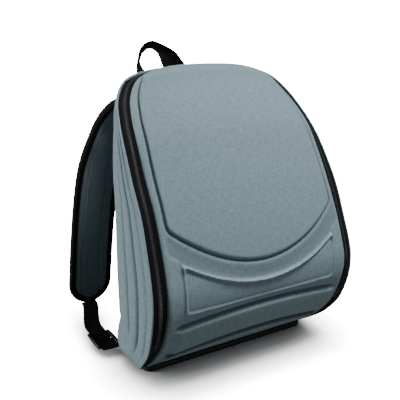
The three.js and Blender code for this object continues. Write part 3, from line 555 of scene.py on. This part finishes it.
def moulded_polyester():
    """Heathered polyester laminated to moulded EVA foam: matte, a fine yarn mottle, no loose nap."""
    material, tree = new_material(
        "moulded_polyester_laminate", "shell_cloth", Roughness=0.78, IOR=1.5, Sheen_Weight=0.12,
        Sheen_Roughness=0.5, Specular_IOR_Level=0.3)
    both = add(tree, "Math", PLUS, in0=slubs(tree, 9, 1.6), in1=slubs(tree, 1.6, 9))
    yarn = add(tree, "Math", TIMES, in0=both[0], in1=0.5)[0]
    shades = [(0.34, "#6b8289"), (0.5, "#778e96"), (0.66, "#839aa2")]
    colour = add(tree, "ValToRGB", {"stops": shades}, Fac=yarn)
    # painted shade darkens the cloth where the mould presses a groove, and painted highlight lightens it on
    # a crest
    pressed = add(tree, "Attribute", {"attribute_name": "pressed"})["Fac"]
    value = add(tree, "Math", TIMES_PLUS, in0=pressed, in1=-0.8, in2=1.0)
    shaded = add(tree, "HueSaturation", Color=colour[0], Value=value[0])
    # the real threads are 0.4 mm apart; drawn 1.6 mm apart so that they still show
    warp, weft = threads(tree, 1.6, 1.6)
    weave = add(tree, "Math", TIMES, in0=warp, in1=weft)
    height = add(tree, "Math", TIMES_PLUS, in0=yarn, in1=1.2, in2=weave[0])
    dress(tree, shaded[0], height[0], 0.16, 0.5)
    return material


def woven_cloth(name, slot, dark, light, spacing, depth, rough, lean=0.0, sheen=0.04):
    """Plain woven cloth: painted highlight on each thread's crown and painted shade in the gaps between
    threads, so that it looks matte.
    """
    material, tree = new_material(
        name, slot, Roughness=rough, IOR=1.5, Sheen_Weight=sheen, Sheen_Roughness=0.4,
        Specular_IOR_Level=0.18)
    warp, weft = threads(tree, spacing, spacing, lean)
    weave = add(tree, "Math", TIMES, in0=warp, in1=weft)[0]
    uneven = add(tree, "Math", TIMES, in0=slubs(tree, 6, 3), in1=0.4)
    tone = add(tree, "Math", TIMES_PLUS, in0=weave, in1=0.7, in2=uneven[0])
    # the colour follows the weave: painted highlight on the crowns, painted shade in the gaps, with random
    # yarn tone
    colour = add(tree, "ValToRGB", {"stops": [(0.15, dark), (0.9, light)]}, Fac=tone[0])
    dress(tree, colour[0], weave, 0.5, depth)
    return material


def ribbed_webbing():
    """Polypropylene webbing: fine ribs across its run, slightly shiny yarn."""
    material, tree = new_material(
        "woven_polypropylene_webbing", "black_cloth", Roughness=0.62, IOR=1.49, Sheen_Weight=0.02,
        Sheen_Roughness=0.4, Specular_IOR_Level=0.15)
    # ribs 1.5 mm apart along the run, broken by the warp every 2.4 mm
    warp, ribs = threads(tree, 2.4, 1.5)
    warp = add(tree, "Math", PLUS, in0=warp, in1=0.6)
    ribs = add(tree, "Math", PLUS, in0=ribs, in1=0.5)
    height = add(tree, "Math", TIMES, in0=warp[0], in1=ribs[0])[0]
    # the colour follows the ribs: painted highlight on their crowns and painted shade in the gaps between
    # them
    colour = add(tree, "ValToRGB", {"stops": [(0.3, "#020203"), (1.0, "#0b0c0d")]}, Fac=height)
    dress(tree, colour[0], height, 0.6, 0.5)
    return material


def moulded_plastic(name, colour, rough, grain):
    """Moulded plastic with a fine spark-eroded grain, its size in millimetres, that breaks up the shine."""
    material, tree = new_material(name, "black_plastic", Roughness=rough, IOR=1.48)
    place = add(tree, "TexCoord")["Object"]
    noise = add(tree, "TexNoise", Vector=place, Scale=1 / (grain * MM), Detail=3.0)[0]
    tone = add(tree, "ValToRGB", {"stops": [(0.3, colour), (0.8, colour, 1.5)]}, Fac=noise)
    dress(tree, tone[0], noise, 0.25, 0.2)
    return material


def painted_zinc():
    """Die-cast zinc under black paint: an even satin gloss, thinner and brighter at worn places."""
    material, tree = new_material("black_painted_zinc", "black_metal", Metallic=0.7)
    # worn places about 1 mm across
    wear = add(tree, "TexNoise", Vector=add(tree, "TexCoord")["Object"], Scale=900.0, Detail=4.0)[0]
    paint = add(tree, "ValToRGB", {"stops": [(0.4, "#131315"), (0.75, "#3a3b3e")]}, Fac=wear)
    gloss = add(tree, "MapRange", Value=wear, in1=0.3, in2=0.8, in3=0.45, in4=0.3)
    feed(tree, Base_Color=paint[0], Roughness=gloss[0])
    return material


def air_mesh():
    """Knitted polyester air mesh over foam: small open cells that catch the light on their rims."""
    material, tree = new_material(
        "knitted_air_mesh", "pad_cloth", Roughness=0.9, IOR=1.5, Sheen_Weight=0.1, Specular_IOR_Level=0.2)
    # cells 2.6 mm apart
    uv = add(tree, "UVMap", {"uv_map": "cloth"})
    cells = add(tree, "TexVoronoi", {"feature": "DISTANCE_TO_EDGE"}, Vector=uv[0], Scale=1 / 2.6,
                Randomness=0.25)["Distance"]
    colour = add(tree, "ValToRGB", {"stops": [(0.06, "#2a3134"), (0.3, "#0b0d0e")]}, Fac=cells)
    dress(tree, colour[0], cells, 0.7, 0.8, invert=True)
    return material


def sewing_thread(name, slot, colour):
    """Bonded polyester sewing thread: a tight twist, a little brighter than the cloth under it."""
    material, tree = new_material(name, slot, Roughness=0.6, IOR=1.5)
    # the twist turns every 0.7 mm
    noise = add(tree, "TexNoise", Vector=add(tree, "TexCoord")["Object"], Scale=1500.0)[0]
    tone = add(tree, "ValToRGB", {"stops": [(0.3, colour), (0.8, colour, 1.4)]}, Fac=noise)
    feed(tree, Base_Color=tone[0])
    return material


SHELL = moulded_polyester()
WEBBING_CLOTH = ribbed_webbing()
# nylon zip tape: a tight herringbone that reads as fine slanting lines
ZIP_TAPE = woven_cloth("woven_nylon_zip_tape", "black_cloth", "#040405", "#121315", 1.3, 0.3, 0.85, 0.6)
# grosgrain binding: cross ribs, duller than the webbing
BINDING = woven_cloth("woven_grosgrain_binding", "black_cloth", "#020203", "#0a0b0c", 1.2, 0.25, 0.85)
# strap face: coated polyester canvas in dark slate
STRAP_FACE = woven_cloth("coated_polyester_canvas", "pad_cloth", "#66757c", "#879499", 1.5, 0.25, 0.75,
                         sheen=0.15)
# foot: PVC coated polyester, black, the canvas still reading through the coat
FOOT_CLOTH = woven_cloth("coated_polyester_foot_cloth", "black_cloth", "#202124", "#3a3c40", 1.8, 0.3, 0.5)
MESH_CLOTH = air_mesh()
COIL = moulded_plastic("moulded_nylon_coil", "#3b3c40", 0.38, 0.6)
ACETAL = moulded_plastic("moulded_acetal_buckle", "#0f1012", 0.36, 0.5)
ZINC = painted_zinc()
SLATE_THREAD = sewing_thread("slate_polyester_thread", "pad_cloth", "#a3b1b4")
BLACK_THREAD = sewing_thread("black_polyester_thread", "black_cloth", "#3a3c40")


# pieces of the body
def spread(stops, counts):
    """Places from stop to stop, with so many steps between each pair."""
    parts = [np.linspace(a, b, n, endpoint=False) for a, b, n in zip(stops, stops[1:], counts)]
    return np.append(np.concatenate(parts), stops[-1])


def mark_painted_shading(shell, pressed):
    """Stores the painted shading of each point of the outer skin: painted shade darkens the cloth, painted
    highlight lightens it.
    """
    values = np.zeros(len(shell.data.vertices))
    values[:pressed.size] = pressed.ravel()
    shell.data.attributes.new("pressed", "FLOAT", "POINT").data.foreach_set("value", values)


def front_shell():
    half = spread([0, 0.7, 0.92, 1], [36, 42, 12])
    across = np.concatenate([-half[:0:-1], half])
    up = spread([0, 0.03, 0.3, 0.56, 0.93, 1], [10, 102, 92, 78, 18])
    grid = np.meshgrid(across, up)
    inner = [part[::6, ::6] for part in grid]
    shell = two_skins("front_shell_laminate", front_outer(*grid), front_inner(*inner), SHELL, 6)
    face = front_plain(*grid)
    mark_painted_shading(shell, front_relief(*grid, face[..., 0], face[..., 2])[1])
    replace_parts(shell, "front_shell")


def back_shell():
    """The tub, with a black edging round its underside."""
    loops = np.arange(320) / 160
    ways = spread([0, 0.06, 1, 2, 2.98], [6, 96, 24, 18])
    grid = np.meshgrid(loops, ways)
    inner = [part[::4, ::4] for part in grid]
    shell = two_skins("back_shell_laminate", tub_outer(*grid), tub_inner(*inner), SHELL, 4, True)
    loop, way = grid
    height = rim_at(loop)[1][..., 2] / HEIGHT
    # painted shade darkens the cloth along the two deeper side grooves
    groove = bump(way - SIDE_GROOVES[0][0], 0.03) + 0.8 * bump(way - SIDE_GROOVES[1][0], 0.03)
    mark_painted_shading(shell, 0.45 * groove * smooth(0.09, 0.2, height) * smooth(0.93, 0.84, height))
    shell.data.materials.append(BINDING)
    centres = np.zeros(len(shell.data.polygons) * 3)
    shell.data.polygons.foreach_get("center", centres)
    low = centres.reshape(-1, 3)[:, 2] < EDGING_TOP * MM
    shell.data.polygons.foreach_set("material_index", low.astype(np.int32))
    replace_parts(shell, "back_shell")


def loop_at_height(z):
    """The place on the loop where the back rim stands at a height, found by halving."""
    low, high = 0.1, 0.6
    for _ in range(30):
        middle = (low + high) / 2
        if rim_at(np.array(middle))[1][2] < z:
            low = middle
        else:
            high = middle
    return low


ZIP_START = loop_at_height(ZIP_END)
TAPE_TOP = -TAPE_RECESS


def zip_loops(spacing):
    """Places along the zip from end to end, so many millimetres apart."""
    fine = np.linspace(ZIP_START, 2 - ZIP_START, 2400)
    front, back, _ = rim_at(fine)
    run = travelled(((front + back) / 2)[:, None], 0)[:, 0]
    return np.interp(np.arange(0, run[-1], spacing), run, fine)


def band_strip(name, node, loops, profile):
    """Cloth along the zip band; a corner is a share of the breadth, a shift from it and a rise."""
    front, along, out, breadth = band_frame(loops)
    sections = []
    for share, shift, rise in profile:
        sections.append(front + along * (breadth * share + shift)[:, None] + out * (TAPE_TOP + rise))
    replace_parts(swept(name, np.stack(sections, 1), ZIP_TAPE), node)


def zip_tapes():
    """Two cloth tapes, each with a low hem where it is sewn to its shell."""
    loops = zip_loops(3)
    gap, hem = CHAIN_W / 2 + CLEAR, 3.2
    for label, share, sign in (("front", 0, 1), ("back", 1, -1)):
        profile = [
            (share, sign * TAPE_EDGE, 0.1),
            (share, sign * (TAPE_EDGE + hem), 0.25),
            (share, sign * (TAPE_EDGE + hem + 0.8), -0.15),
            (0.5, -sign * gap, -0.1),
            (0.5, -sign * gap, -TAPE_THICK),
            (share, sign * TAPE_EDGE, -TAPE_THICK),
        ]
        band_strip(f"zip_tape_{label}_weave", f"zip_tape_{label}", loops, profile)


def bricks(name, centres, axes, size, material, pinch=0.5):
    """Many small rounded bricks of one size as one piece, each along its own three axes."""
    runs, acrosses, ups = axes
    ring = [(-1, -0.6), (-0.6, -1), (0.6, -1), (1, -0.6), (1, 0.6), (0.6, 1), (-0.6, 1), (-1, 0.6)]
    corners = []
    for place, scale in ((-0.5, pinch), (-0.3, 1), (0.3, 1), (0.5, pinch)):
        for a, b in ring:
            corners.append(centres + runs * place * size[0] + acrosses * a * scale * size[1] / 2
                           + ups * b * scale * size[2] / 2)
    points = np.stack(corners, 1)
    count, per = points.shape[:2]
    first = np.array([[3, 2, 1, 0], [7, 6, 5, 4], [4, 3, 0, 7]])
    last = per - 8 + np.array([[0, 1, 2, 3], [4, 5, 6, 7], [0, 3, 4, 7]])
    one = np.concatenate([lattice(4, 8, 0, True), first, last])
    quads = (one[None] + (np.arange(count) * per)[:, None, None]).reshape(-1, 4)
    piece(name, points, quads, material, (), points.reshape(-1, 3)[:, [0, 2]])


def zip_coil():
    """The meshed coil: two rows of turns that lock into each other along the middle."""
    loops = zip_loops(1.5)
    front, along, out, breadth = band_frame(loops)
    middle = front + along * (breadth / 2)[:, None]
    run = unit(np.gradient(middle, axis=0))
    side = np.where(np.arange(len(loops)) % 2, 1.0, -1.0)[:, None]
    centres = middle + along * side * 0.9 + out * (TAPE_TOP - 0.1)
    bricks("zip_coil_turns", centres, (along, run, out), (4.0, 1.15, 1.3), COIL, 0.7)
    edge = CHAIN_W / 2
    bed = [(0.5, -edge, -0.3), (0.5, edge, -0.3), (0.5, edge, -1.6), (0.5, -edge, -1.6)]
    band_strip("zip_coil_bed", "zip_chain", zip_loops(3), bed)


def zip_gusset():
    """Plain cloth that closes the band under the bag, sagging a little in its middle."""
    loops = np.linspace(-ZIP_START + 0.002, ZIP_START - 0.002, 220)
    section = ((0, 0), (0.2, -0.3), (0.5, -0.4), (0.8, -0.3), (1, 0), (1, -TAPE_THICK), (0, -TAPE_THICK))
    profile = [(share, TAPE_EDGE * (1 - 2 * share), rise) for share, rise in section]
    band_strip("zip_gusset_cloth", "zip_gusset", loops, profile)


def zip_end_tacks():
    """Bars of dense stitches that close the zip's two ends."""
    rows = []
    for end, sign in ((ZIP_START, 1), (2 - ZIP_START, -1)):
        front, along, out, breadth = band_frame(end + sign * np.array([0.002, 0.006, 0.014, 0.018]))
        for share in np.linspace(0.12, 0.88, 13):
            seat = front + along * (breadth * share)[:, None] + out * (TAPE_TOP + 0.55)
            rows.append((seat, along, unit(np.cross(out, along)), out))
    centres, *axes = (np.concatenate(column) for column in zip(*rows))
    bricks("zip_end_stitches", centres, axes, (1.3, 0.6, 0.45), BLACK_THREAD)


def ring_block(name, origin, axes, rings, material):
    """A block lofted through rounded rectangles: (place along axis 0, half breadth, half height, radius)."""
    origin, axes = np.asarray(origin, float), np.asarray(axes, float)
    angles = np.radians([quarter * 90 + step * 22.5 for quarter in range(4) for step in range(5)])
    sections = []
    for place, a, b, radius in rings:
        radius = min(radius, a, b)
        in_a = np.repeat([1, -1, -1, 1], 5) * (a - radius) + radius * np.cos(angles)
        in_b = np.repeat([1, 1, -1, -1], 5) * (b - radius) + radius * np.sin(angles)
        sections.append(origin + axes[0] * place + np.outer(in_a, axes[1]) + np.outer(in_b, axes[2]))
    return swept(name, sections, material)


def zip_slider():
    """A plain slider low on the left, pointing down, with its pull hanging below it."""
    band = band_frame(np.array([loop_at_height(SLIDER_HEIGHT)]))
    front, along, out, breadth = (value[0] for value in band)
    run = unit(np.cross(along, out))
    run = run if run[2] < 0 else -run
    seat = front + along * breadth / 2 + out * (TAPE_TOP + 0.5 + CLEAR + 0.8)
    body = [(-7.5, 2.0, 0.4, 0.4), (-6.6, 3.4, 0.7, 0.6), (-2, 4.4, 0.8, 0.7), (3, 4.5, 0.8, 0.7),
            (6.6, 3.6, 0.7, 0.6), (7.5, 2.4, 0.4, 0.4)]
    pull = [(-13, 1.2, 0.4, 0.4), (-12, 1.7, 0.7, 0.6), (-4, 1.5, 0.7, 0.6), (4, 1.9, 0.7, 0.6),
            (12, 2.3, 0.7, 0.6), (13, 1.6, 0.4, 0.4)]
    hang = body[-1][0] + CLEAR - pull[0][0]
    axes = (run, along, out)
    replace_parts(ring_block("zip_slider_body", seat, axes, body, ZINC), "zip_slider")
    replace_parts(ring_block("zip_slider_pull", seat + run * hang, axes, pull, ZINC), "zip_pull")


def base_foot():
    """The foot: a board covered in coated cloth, its lower edge rounded over."""
    rounding = ((0, 2.5), (0.5, 1.4), (1.4, 0.5), (2.5, 0), (4, 0), (7.6, 0), (8.2, 0.3), (FOOT_H, 0.9))
    rings = [(z, FOOT_W / 2 - inset, FOOT_D / 2 - inset, FOOT_R - inset) for z, inset in rounding]
    axes = ((0, 0, 1), (1, 0, 0), (0, 1, 0))
    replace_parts(ring_block("base_foot_cloth", (0, FOOT_SHIFT, 0), axes, rings, FOOT_CLOTH), "base_foot")


def back_panel():
    """Padded mesh panel: a pillow with a bound edge, sunk in along a spine and two cross channels."""
    back = rim_at(np.arange(200) / 100)[1]
    edge = [(0.98, 0), (0.995, 1.2), (1.0, 3.5), (0.998, 5.6), (0.985, 7.4), (0.965, 8.6), (0.95, 8.2),
            (0.935, 8.4)]
    sections = []
    for keep, rise in edge + [(keep, None) for keep in np.linspace(0.9, 0.02, 46)]:
        scale = BACK_PANEL_H * keep
        x = back[:, 0] * scale * BACK_PANEL_W
        z = MIDDLE + (back[:, 2] - MIDDLE) * scale
        spine = 3.2 * bump(np.abs(x) - SPINE_SIDE, 4)
        nearest = np.minimum(np.abs(z - CROSS_LOW), np.abs(z - CROSS_HIGH))
        cross = 2.4 * bump(nearest, 4) * smooth(SPINE_SIDE - 1, SPINE_SIDE + 3, np.abs(x))
        pillow = BACK_PANEL_THICK + 0.6 * smooth(0.93, 0.6, keep) - spine - cross
        lift = pillow if rise is None else rise
        sections.append(np.stack([x, back_plane(z) + PROUD + CLEAR + lift, z], -1))
    panel = swept("back_panel_mesh", sections, MESH_CLOTH)
    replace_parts(panel, "back_panel")


# straps, webbing, locks and handle


def route(rows, side=1):
    """A route in millimetres: its length, and a function that gives place, direction and more along it."""
    table = np.array([row[:3] for row in rows], float) * (side * HALF, DEPTH, HEIGHT)
    extra = np.array([row[3:] for row in rows], float).reshape(len(rows), -1)
    table = np.concatenate([table, extra], 1)
    share = np.linspace(0, 1, 600)
    fine = spline(table, share, 2 * table[0] - table[1], 2 * table[-1] - table[-2])
    run = travelled(fine[:, None, :3], 0)[:, 0]

    def read(along):
        return np.stack([np.interp(along, run, column) for column in fine.T], -1)

    def at(along):
        along = np.clip(along, 0, run[-1])
        place, ahead, behind = read(along), read(along + 2), read(along - 2)
        return place[..., :3], unit((ahead - behind)[..., :3]), place[..., 3:]

    return run[-1], at


def strap_frame(run, side):
    """Directions across a strap and out of its face, for its direction at each place."""
    across = np.broadcast_to(unit(np.array([1, 0.05 * side, 0.0])), run.shape)
    return across, unit(np.cross(across, run))


def strap_pad(side, label):
    """Foam pad under canvas on both faces, with two sewn channels along it."""
    length, at = route(STRAP_ROWS, side)
    start, straight = BINDING_W + BINDING_GAP, length - PAD_W / 2
    core = PAD_W / 2 - start + 1.5
    seam, channel_depth = 0.52 * core, 2.6
    plan = [(along, core) for along in np.linspace(start, straight, 130)]
    for angle in np.linspace(0, math.pi / 2, 14)[1:]:
        plan.append((straight + core * math.sin(angle), max(core * math.cos(angle), 0.8)))
    along, half = (np.array(column)[:, None] for column in zip(*plan))
    shares = np.concatenate([np.linspace(-1, 1, 41), np.linspace(1, -1, 31)[1:-1]])
    w = shares * half
    crown = PAD_THICK / 2 * (0.8 + 0.24 * (1 - (w / core) ** 4)) - 0.5 * (half < core)
    crown -= channel_depth * bump(np.abs(w) - seam, 1.6) + bump(np.abs(w) - seam, 5)
    rise = np.where(np.abs(shares) == 1, 0.25 * PAD_THICK, crown)
    rise[:, 41:] *= -1
    point, run, _ = at(along[:, 0])
    across, up = strap_frame(run, side)
    sections = point[:, None] + across[:, None] * w[..., None] + up[:, None] * rise[..., None]
    pad = swept(f"strap_pad_{label}_canvas", sections, STRAP_FACE)
    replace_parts(pad, f"strap_pad_{label}")
    # stitches in both channels, on both faces
    point, run, _ = at(np.arange(start + 6, straight + 8, 4.2))
    across, up = strap_frame(run, side)
    level = PAD_THICK / 2 * 1.03 - channel_depth
    for channel, sign in (("in", -1), ("out", 1)):
        for face, way in (("face", 1), ("back", -1)):
            centres = point + across * sign * seam + up * way * level
            bricks(f"strap_stitches_{label}_{channel}_{face}", centres, (run, across, up * way),
                   (3.2, 1.3, 1.1), SLATE_THREAD)


def strap_binding(side, label):
    """Tape folded round the pad's edge and sewn through."""
    upper = [(-4.9, 4.7), (-4.0, 6.0), (-1.0, 6.45), (2.0, 5.9), (4.0, 4.3), (4.8, 1.8)]
    profile = upper + [(edge, -rise) for edge, rise in upper[::-1]]
    outmost = upper[-1][0]
    length, at = route(STRAP_ROWS, side)
    half, straight = PAD_W / 2 - outmost, length - PAD_W / 2
    # the tape's middle line round the pad: along the strap, and across it
    places = np.linspace(outmost, straight, 110)
    plan = [(place, half) for place in places]
    for angle in np.linspace(0, math.pi, 34)[1:-1]:
        plan.append((straight + half * math.sin(angle), half * math.cos(angle)))
    plan += [(place, -half) for place in places[::-1]]
    plan += [(outmost, w) for w in np.linspace(-half, half, 14)[1:-1]]
    plan = np.array(plan)
    ahead, behind = unit(np.roll(plan, -1, 0) - plan), unit(plan - np.roll(plan, 1, 0))
    step = unit(behind + ahead)
    miter = 1 / np.maximum(0.72, (step * behind).sum(-1))
    rings = []
    for edge, rise in profile:
        point, run, _ = at(plan[:, 0] - edge * step[:, 1] * miter)
        across, up = strap_frame(run, side)
        w = plan[:, 1] + edge * step[:, 0] * miter
        rings.append(point + across * w[:, None] + up * rise)
    strip = swept(f"strap_binding_{label}_tape", np.stack(rings, 1), BINDING, looped=True)
    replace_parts(strip, f"strap_binding_{label}")
    # the seam that holds the tape, inside its middle line, on both faces
    table = np.concatenate([plan, step], 1)
    table = np.concatenate([table, table[:1]])
    walked = travelled(table[:, None, :2], 0)[:, 0]
    even = np.arange(0, walked[-1], 4.0)
    along, w, step_a, step_w = (np.interp(even, walked, column)[:, None] for column in table.T)
    inside, level = 2.9, 6.25
    point, run, _ = at((along + inside * step_w)[:, 0])
    across, up = strap_frame(run, side)
    centres = point + across * (w - inside * step_a)
    direction = unit(run * step_a + across * step_w)
    for face, way in (("face", 1), ("back", -1)):
        bricks(f"binding_stitches_{label}_{face}", centres + up * way * level,
               (direction, unit(np.cross(up, direction)), up * way), (2.8, 0.7, 0.5), BLACK_THREAD)


def woven_section(breadth, thick, selvedge):
    """Section of a woven strip, its two selvedges thinner than its middle."""
    half, edge = breadth / 2, thick / 2
    inner = half - selvedge
    upper = [(half, 0.3 * edge), (inner, edge), (0, edge), (-inner, edge), (-half, 0.3 * edge)]
    return [(-w, -rise) for w, rise in upper] + upper


def webbing(node, rows, side, steps, curl=0.0):
    """A woven strip along a route; curl bows it across its breadth."""
    length, at = route(rows, side)
    point, run, _ = at(np.linspace(0, length, steps))
    across, up = strap_frame(run, side)
    rings = []
    for w, rise in woven_section(WEB_W, WEB_THICK, 0.7):
        bow = curl * (1 - (2 * w / WEB_W) ** 2)
        rings.append(point + across * w + up * (rise + bow))
    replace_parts(swept(f"{node}_weave", np.stack(rings, 1), WEBBING_CLOTH), node)


LOCK_Y = 0.34 * DEPTH


def lock_end(way):
    """Where the webbing meets the lock, as a row of a route: way 1 at the strap's end, -1 at the heel's."""
    return (0.9725 + 0.0025 * way, (LOCK_Y + way * (LOCK_L / 2 + 2 * CLEAR)) / DEPTH, 0.034 + 0.004 * way)


def ladder_lock(side, label):
    """Moulded ladder lock: two rails and four bars, the webbing threaded over and under them."""
    ends = [np.array(lock_end(way)) * (side * HALF, DEPTH, HEIGHT) for way in (1, -1)]
    run = unit(ends[1] - ends[0])
    across, up = strap_frame(run, side)
    centre = (ends[0] + ends[1]) / 2
    tip = LOCK_L / 2
    rail = [(-tip, 1.5, 1.2, 1), (1 - tip, 2.1, 1.9, 1), (-8, 2.4, 2.9, 1.2), (8, 2.4, 2.9, 1.2),
            (tip - 1, 2.0, 1.9, 1), (tip, 1.4, 1.2, 1)]
    rails = []
    for place, sign in (("in", -1), ("out", 1)):
        seat = centre + across * sign * (LOCK_W / 2 - 2.6)
        rails.append(ring_block(f"ladder_lock_{label}_rail_{place}", seat, (run, across, up), rail, ACETAL))
    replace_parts(rails[0], f"ladder_lock_{label}")
    # each bar's place along the lock, half its thickness, half its breadth and how far it is raised
    bars = [(-18.6, 1.6, 2.2, 0), (-4.5, 1.9, 2.6, 0), (6.5, 2.3, 3.2, 0.6), (18.6, 1.6, 2.2, 0)]
    reach = (LOCK_W - 6.4) / 2
    for k, (place, thick, broad, raised) in enumerate(bars):
        rounding = ((0, 0.3), (0.09, 0.09), (0.3, 0))
        near = [(inset - reach, broad - less, thick - less, 1.4) for inset, less in rounding]
        far = [(-place_on, a, b, radius) for place_on, a, b, radius in near[::-1]]
        ring_block(f"ladder_lock_{label}_bar_{k}", centre + run * place + up * raised, (across, run, up),
                   near + far, ACETAL)
    # webbing threaded through the bars: place along the lock, and height
    weave = [(-tip, 0), (-14, 0.2), (-9, 2.0), (-4.5, 3.4), (1, 2.2), (4, -0.6), (6.5, -2.2), (9, -0.8),
             (13, -0.4), (tip, 0)]
    table = np.array([centre + run * place + up * rise for place, rise in weave])
    dense = spline(table, np.linspace(0, 1, 80), 2 * table[0] - table[1], 2 * table[-1] - table[-2])
    slope = unit(np.gradient(dense, axis=0))
    lift = unit(np.cross(np.broadcast_to(across, slope.shape), slope))
    half, edge = WEB_W / 2 - 0.4, WEB_THICK / 2
    lower = [(-half, 0), (-half + 0.7, -edge), (half - 0.7, -edge)]
    profile = lower + [(-w, -rise) for w, rise in lower]
    rings = [dense + across * w + lift * rise for w, rise in profile]
    swept(f"ladder_lock_{label}_webbing", np.stack(rings, 1), WEBBING_CLOTH)


def on_back(row, rise):
    """A row of a route, set so many millimetres off the wall at the wearer's back."""
    return (row[0], (back_plane(row[2] * HEIGHT) + PROUD + CLEAR + rise) / DEPTH, *row[2:])


STRAP_ROWS = [on_back(STRAP[0], BACK_PANEL_THICK + 0.42 * BINDING_THICK), *STRAP[1:]]


def grab_handle():
    """A loop of broad webbing that turns over as it rises."""
    rows = [on_back(HANDLE[0], CLEAR + 1.4), *HANDLE[1:-1], on_back(HANDLE[-1], CLEAR + 1.4)]
    length, at = route(rows)
    point, run, turns = at(np.linspace(0, length, 180))
    turn, tip = turns[:, 0], turns[:, 1]
    across = np.stack([turn, np.sqrt(np.maximum(0, 1 - turn**2)), tip], -1)
    across = unit(across - run * (across * run).sum(-1)[:, None])
    up = unit(np.cross(across, run))
    rings = [point + across * w + up * rise for w, rise in woven_section(HANDLE_W, HANDLE_THICK, 0.8)]
    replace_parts(swept("grab_handle_webbing", np.stack(rings, 1), WEBBING_CLOTH), "grab_handle")


front_shell()
back_shell()
zip_tapes()
zip_coil()
zip_gusset()
zip_end_tacks()
zip_slider()
base_foot()
back_panel()
grab_handle()
for side, label in ((-1, "left"), (1, "right")):
    strap_pad(side, label)
    strap_binding(side, label)
    webbing(f"strap_webbing_{label}", [*WEBBING[:-1], lock_end(1)], side, 90, curl=0.8)
    ladder_lock(side, label)
    webbing(f"heel_webbing_{label}", [lock_end(-1), *HEEL[1:]], side, 24)


# floor, light and camera
PAPER_GLOW, BACKDROP, AMBIENT = 24.0, 24.0, 0.03
SHADOW_REACH, SHADOW_POWER = 0.075, 4.5


def studio_floor():
    """White paper that glows to the eye, but throws little light back up at the bag."""
    paper = bpy.data.materials.new("matte_white_paper")
    paper.use_nodes = True
    tree = paper.node_tree
    matte = add(tree, "BsdfPrincipled", Base_Color=(0.8, 0.8, 0.8, 1), Roughness=0.9,
                Specular_IOR_Level=0.1)
    # soft dark contact shadow where the bag keeps the sky off the paper
    near = add(tree, "AmbientOcclusion", Distance=SHADOW_REACH)["AO"]
    shade = add(tree, "Math", {"operation": "POWER"}, in0=near, in1=SHADOW_POWER)
    glow = add(tree, "Math", TIMES, in0=shade[0], in1=PAPER_GLOW)
    white = add(tree, "Emission", Color=(1, 1, 1, 1), Strength=glow[0])
    both = add(tree, "AddShader", in0=matte[0], in1=white[0])
    dull = add(tree, "BsdfDiffuse", Color=(0.2, 0.2, 0.2, 1))
    seen = add(tree, "LightPath")["Is Camera Ray"]
    choice = add(tree, "MixShader", in0=seen, in1=dull[0], in2=both[0])
    tree.links.new(choice[0], tree.nodes["Material Output"].inputs["Surface"])
    bpy.ops.mesh.primitive_plane_add(size=24, location=(0, 0, cad_box[0][2] - 0.2 * MM))
    floor = bpy.context.object
    floor.name = "floor"
    floor.data.materials.append(paper)


def studio_backdrop():
    world = bpy.context.scene.world or bpy.data.worlds.new("studio")
    bpy.context.scene.world = world
    world.use_nodes = True
    sky = world.node_tree
    seen = add(sky, "LightPath")["Is Camera Ray"]
    strength = add(sky, "Mix", {"data_type": "FLOAT"}, in0=seen, in2=AMBIENT, in3=BACKDROP)
    sky.nodes["Background"].inputs[0].default_value = (1, 1, 1, 1)
    sky.links.new(strength[0], sky.nodes["Background"].inputs[1])


def aimed(name, data, place, target):
    """A lamp or camera that stands at a place and faces its target, in metres."""
    thing = bpy.data.objects.new(name, data)
    bpy.context.scene.collection.objects.link(thing)
    thing.location = place
    thing.rotation_euler = (Vector(target) - Vector(place)).to_track_quat("-Z", "Y").to_euler()
    return thing


def softbox(name, place, target, size, power):
    light = bpy.data.lights.new(name, "AREA")
    light.shape = "RECTANGLE"
    light.size, light.size_y = size
    light.energy = power
    aimed(name, light, place, target)


def camera():
    """The place and lens that the photograph was taken with, fitted to the bag's outline."""
    lens = bpy.data.cameras.new("photo_camera")
    lens.lens, lens.sensor_width = 54, 36
    lens.clip_start = 0.01
    place, target = (-0.44578, -0.68332, 0.43634), (-0.01901, 0.010, 0.21241)
    bpy.context.scene.camera = aimed("photo_camera", lens, place, target)


studio_floor()
studio_backdrop()
# a small one high in front, a large one behind the wearer's right side, and a weak low one
softbox("key_softbox", (0.22, -0.5, 1.5), (0, 0, 0.3), (0.35, 0.35), 25)
softbox("side_softbox", (-1.35, 0.6, 0.35), (0, 0, 0.15), (0.6, 0.7), 20)
softbox("low_softbox", (0.5, -1.5, 0.12), (0, 0, 0.05), (0.6, 0.2), 3.0)
camera()
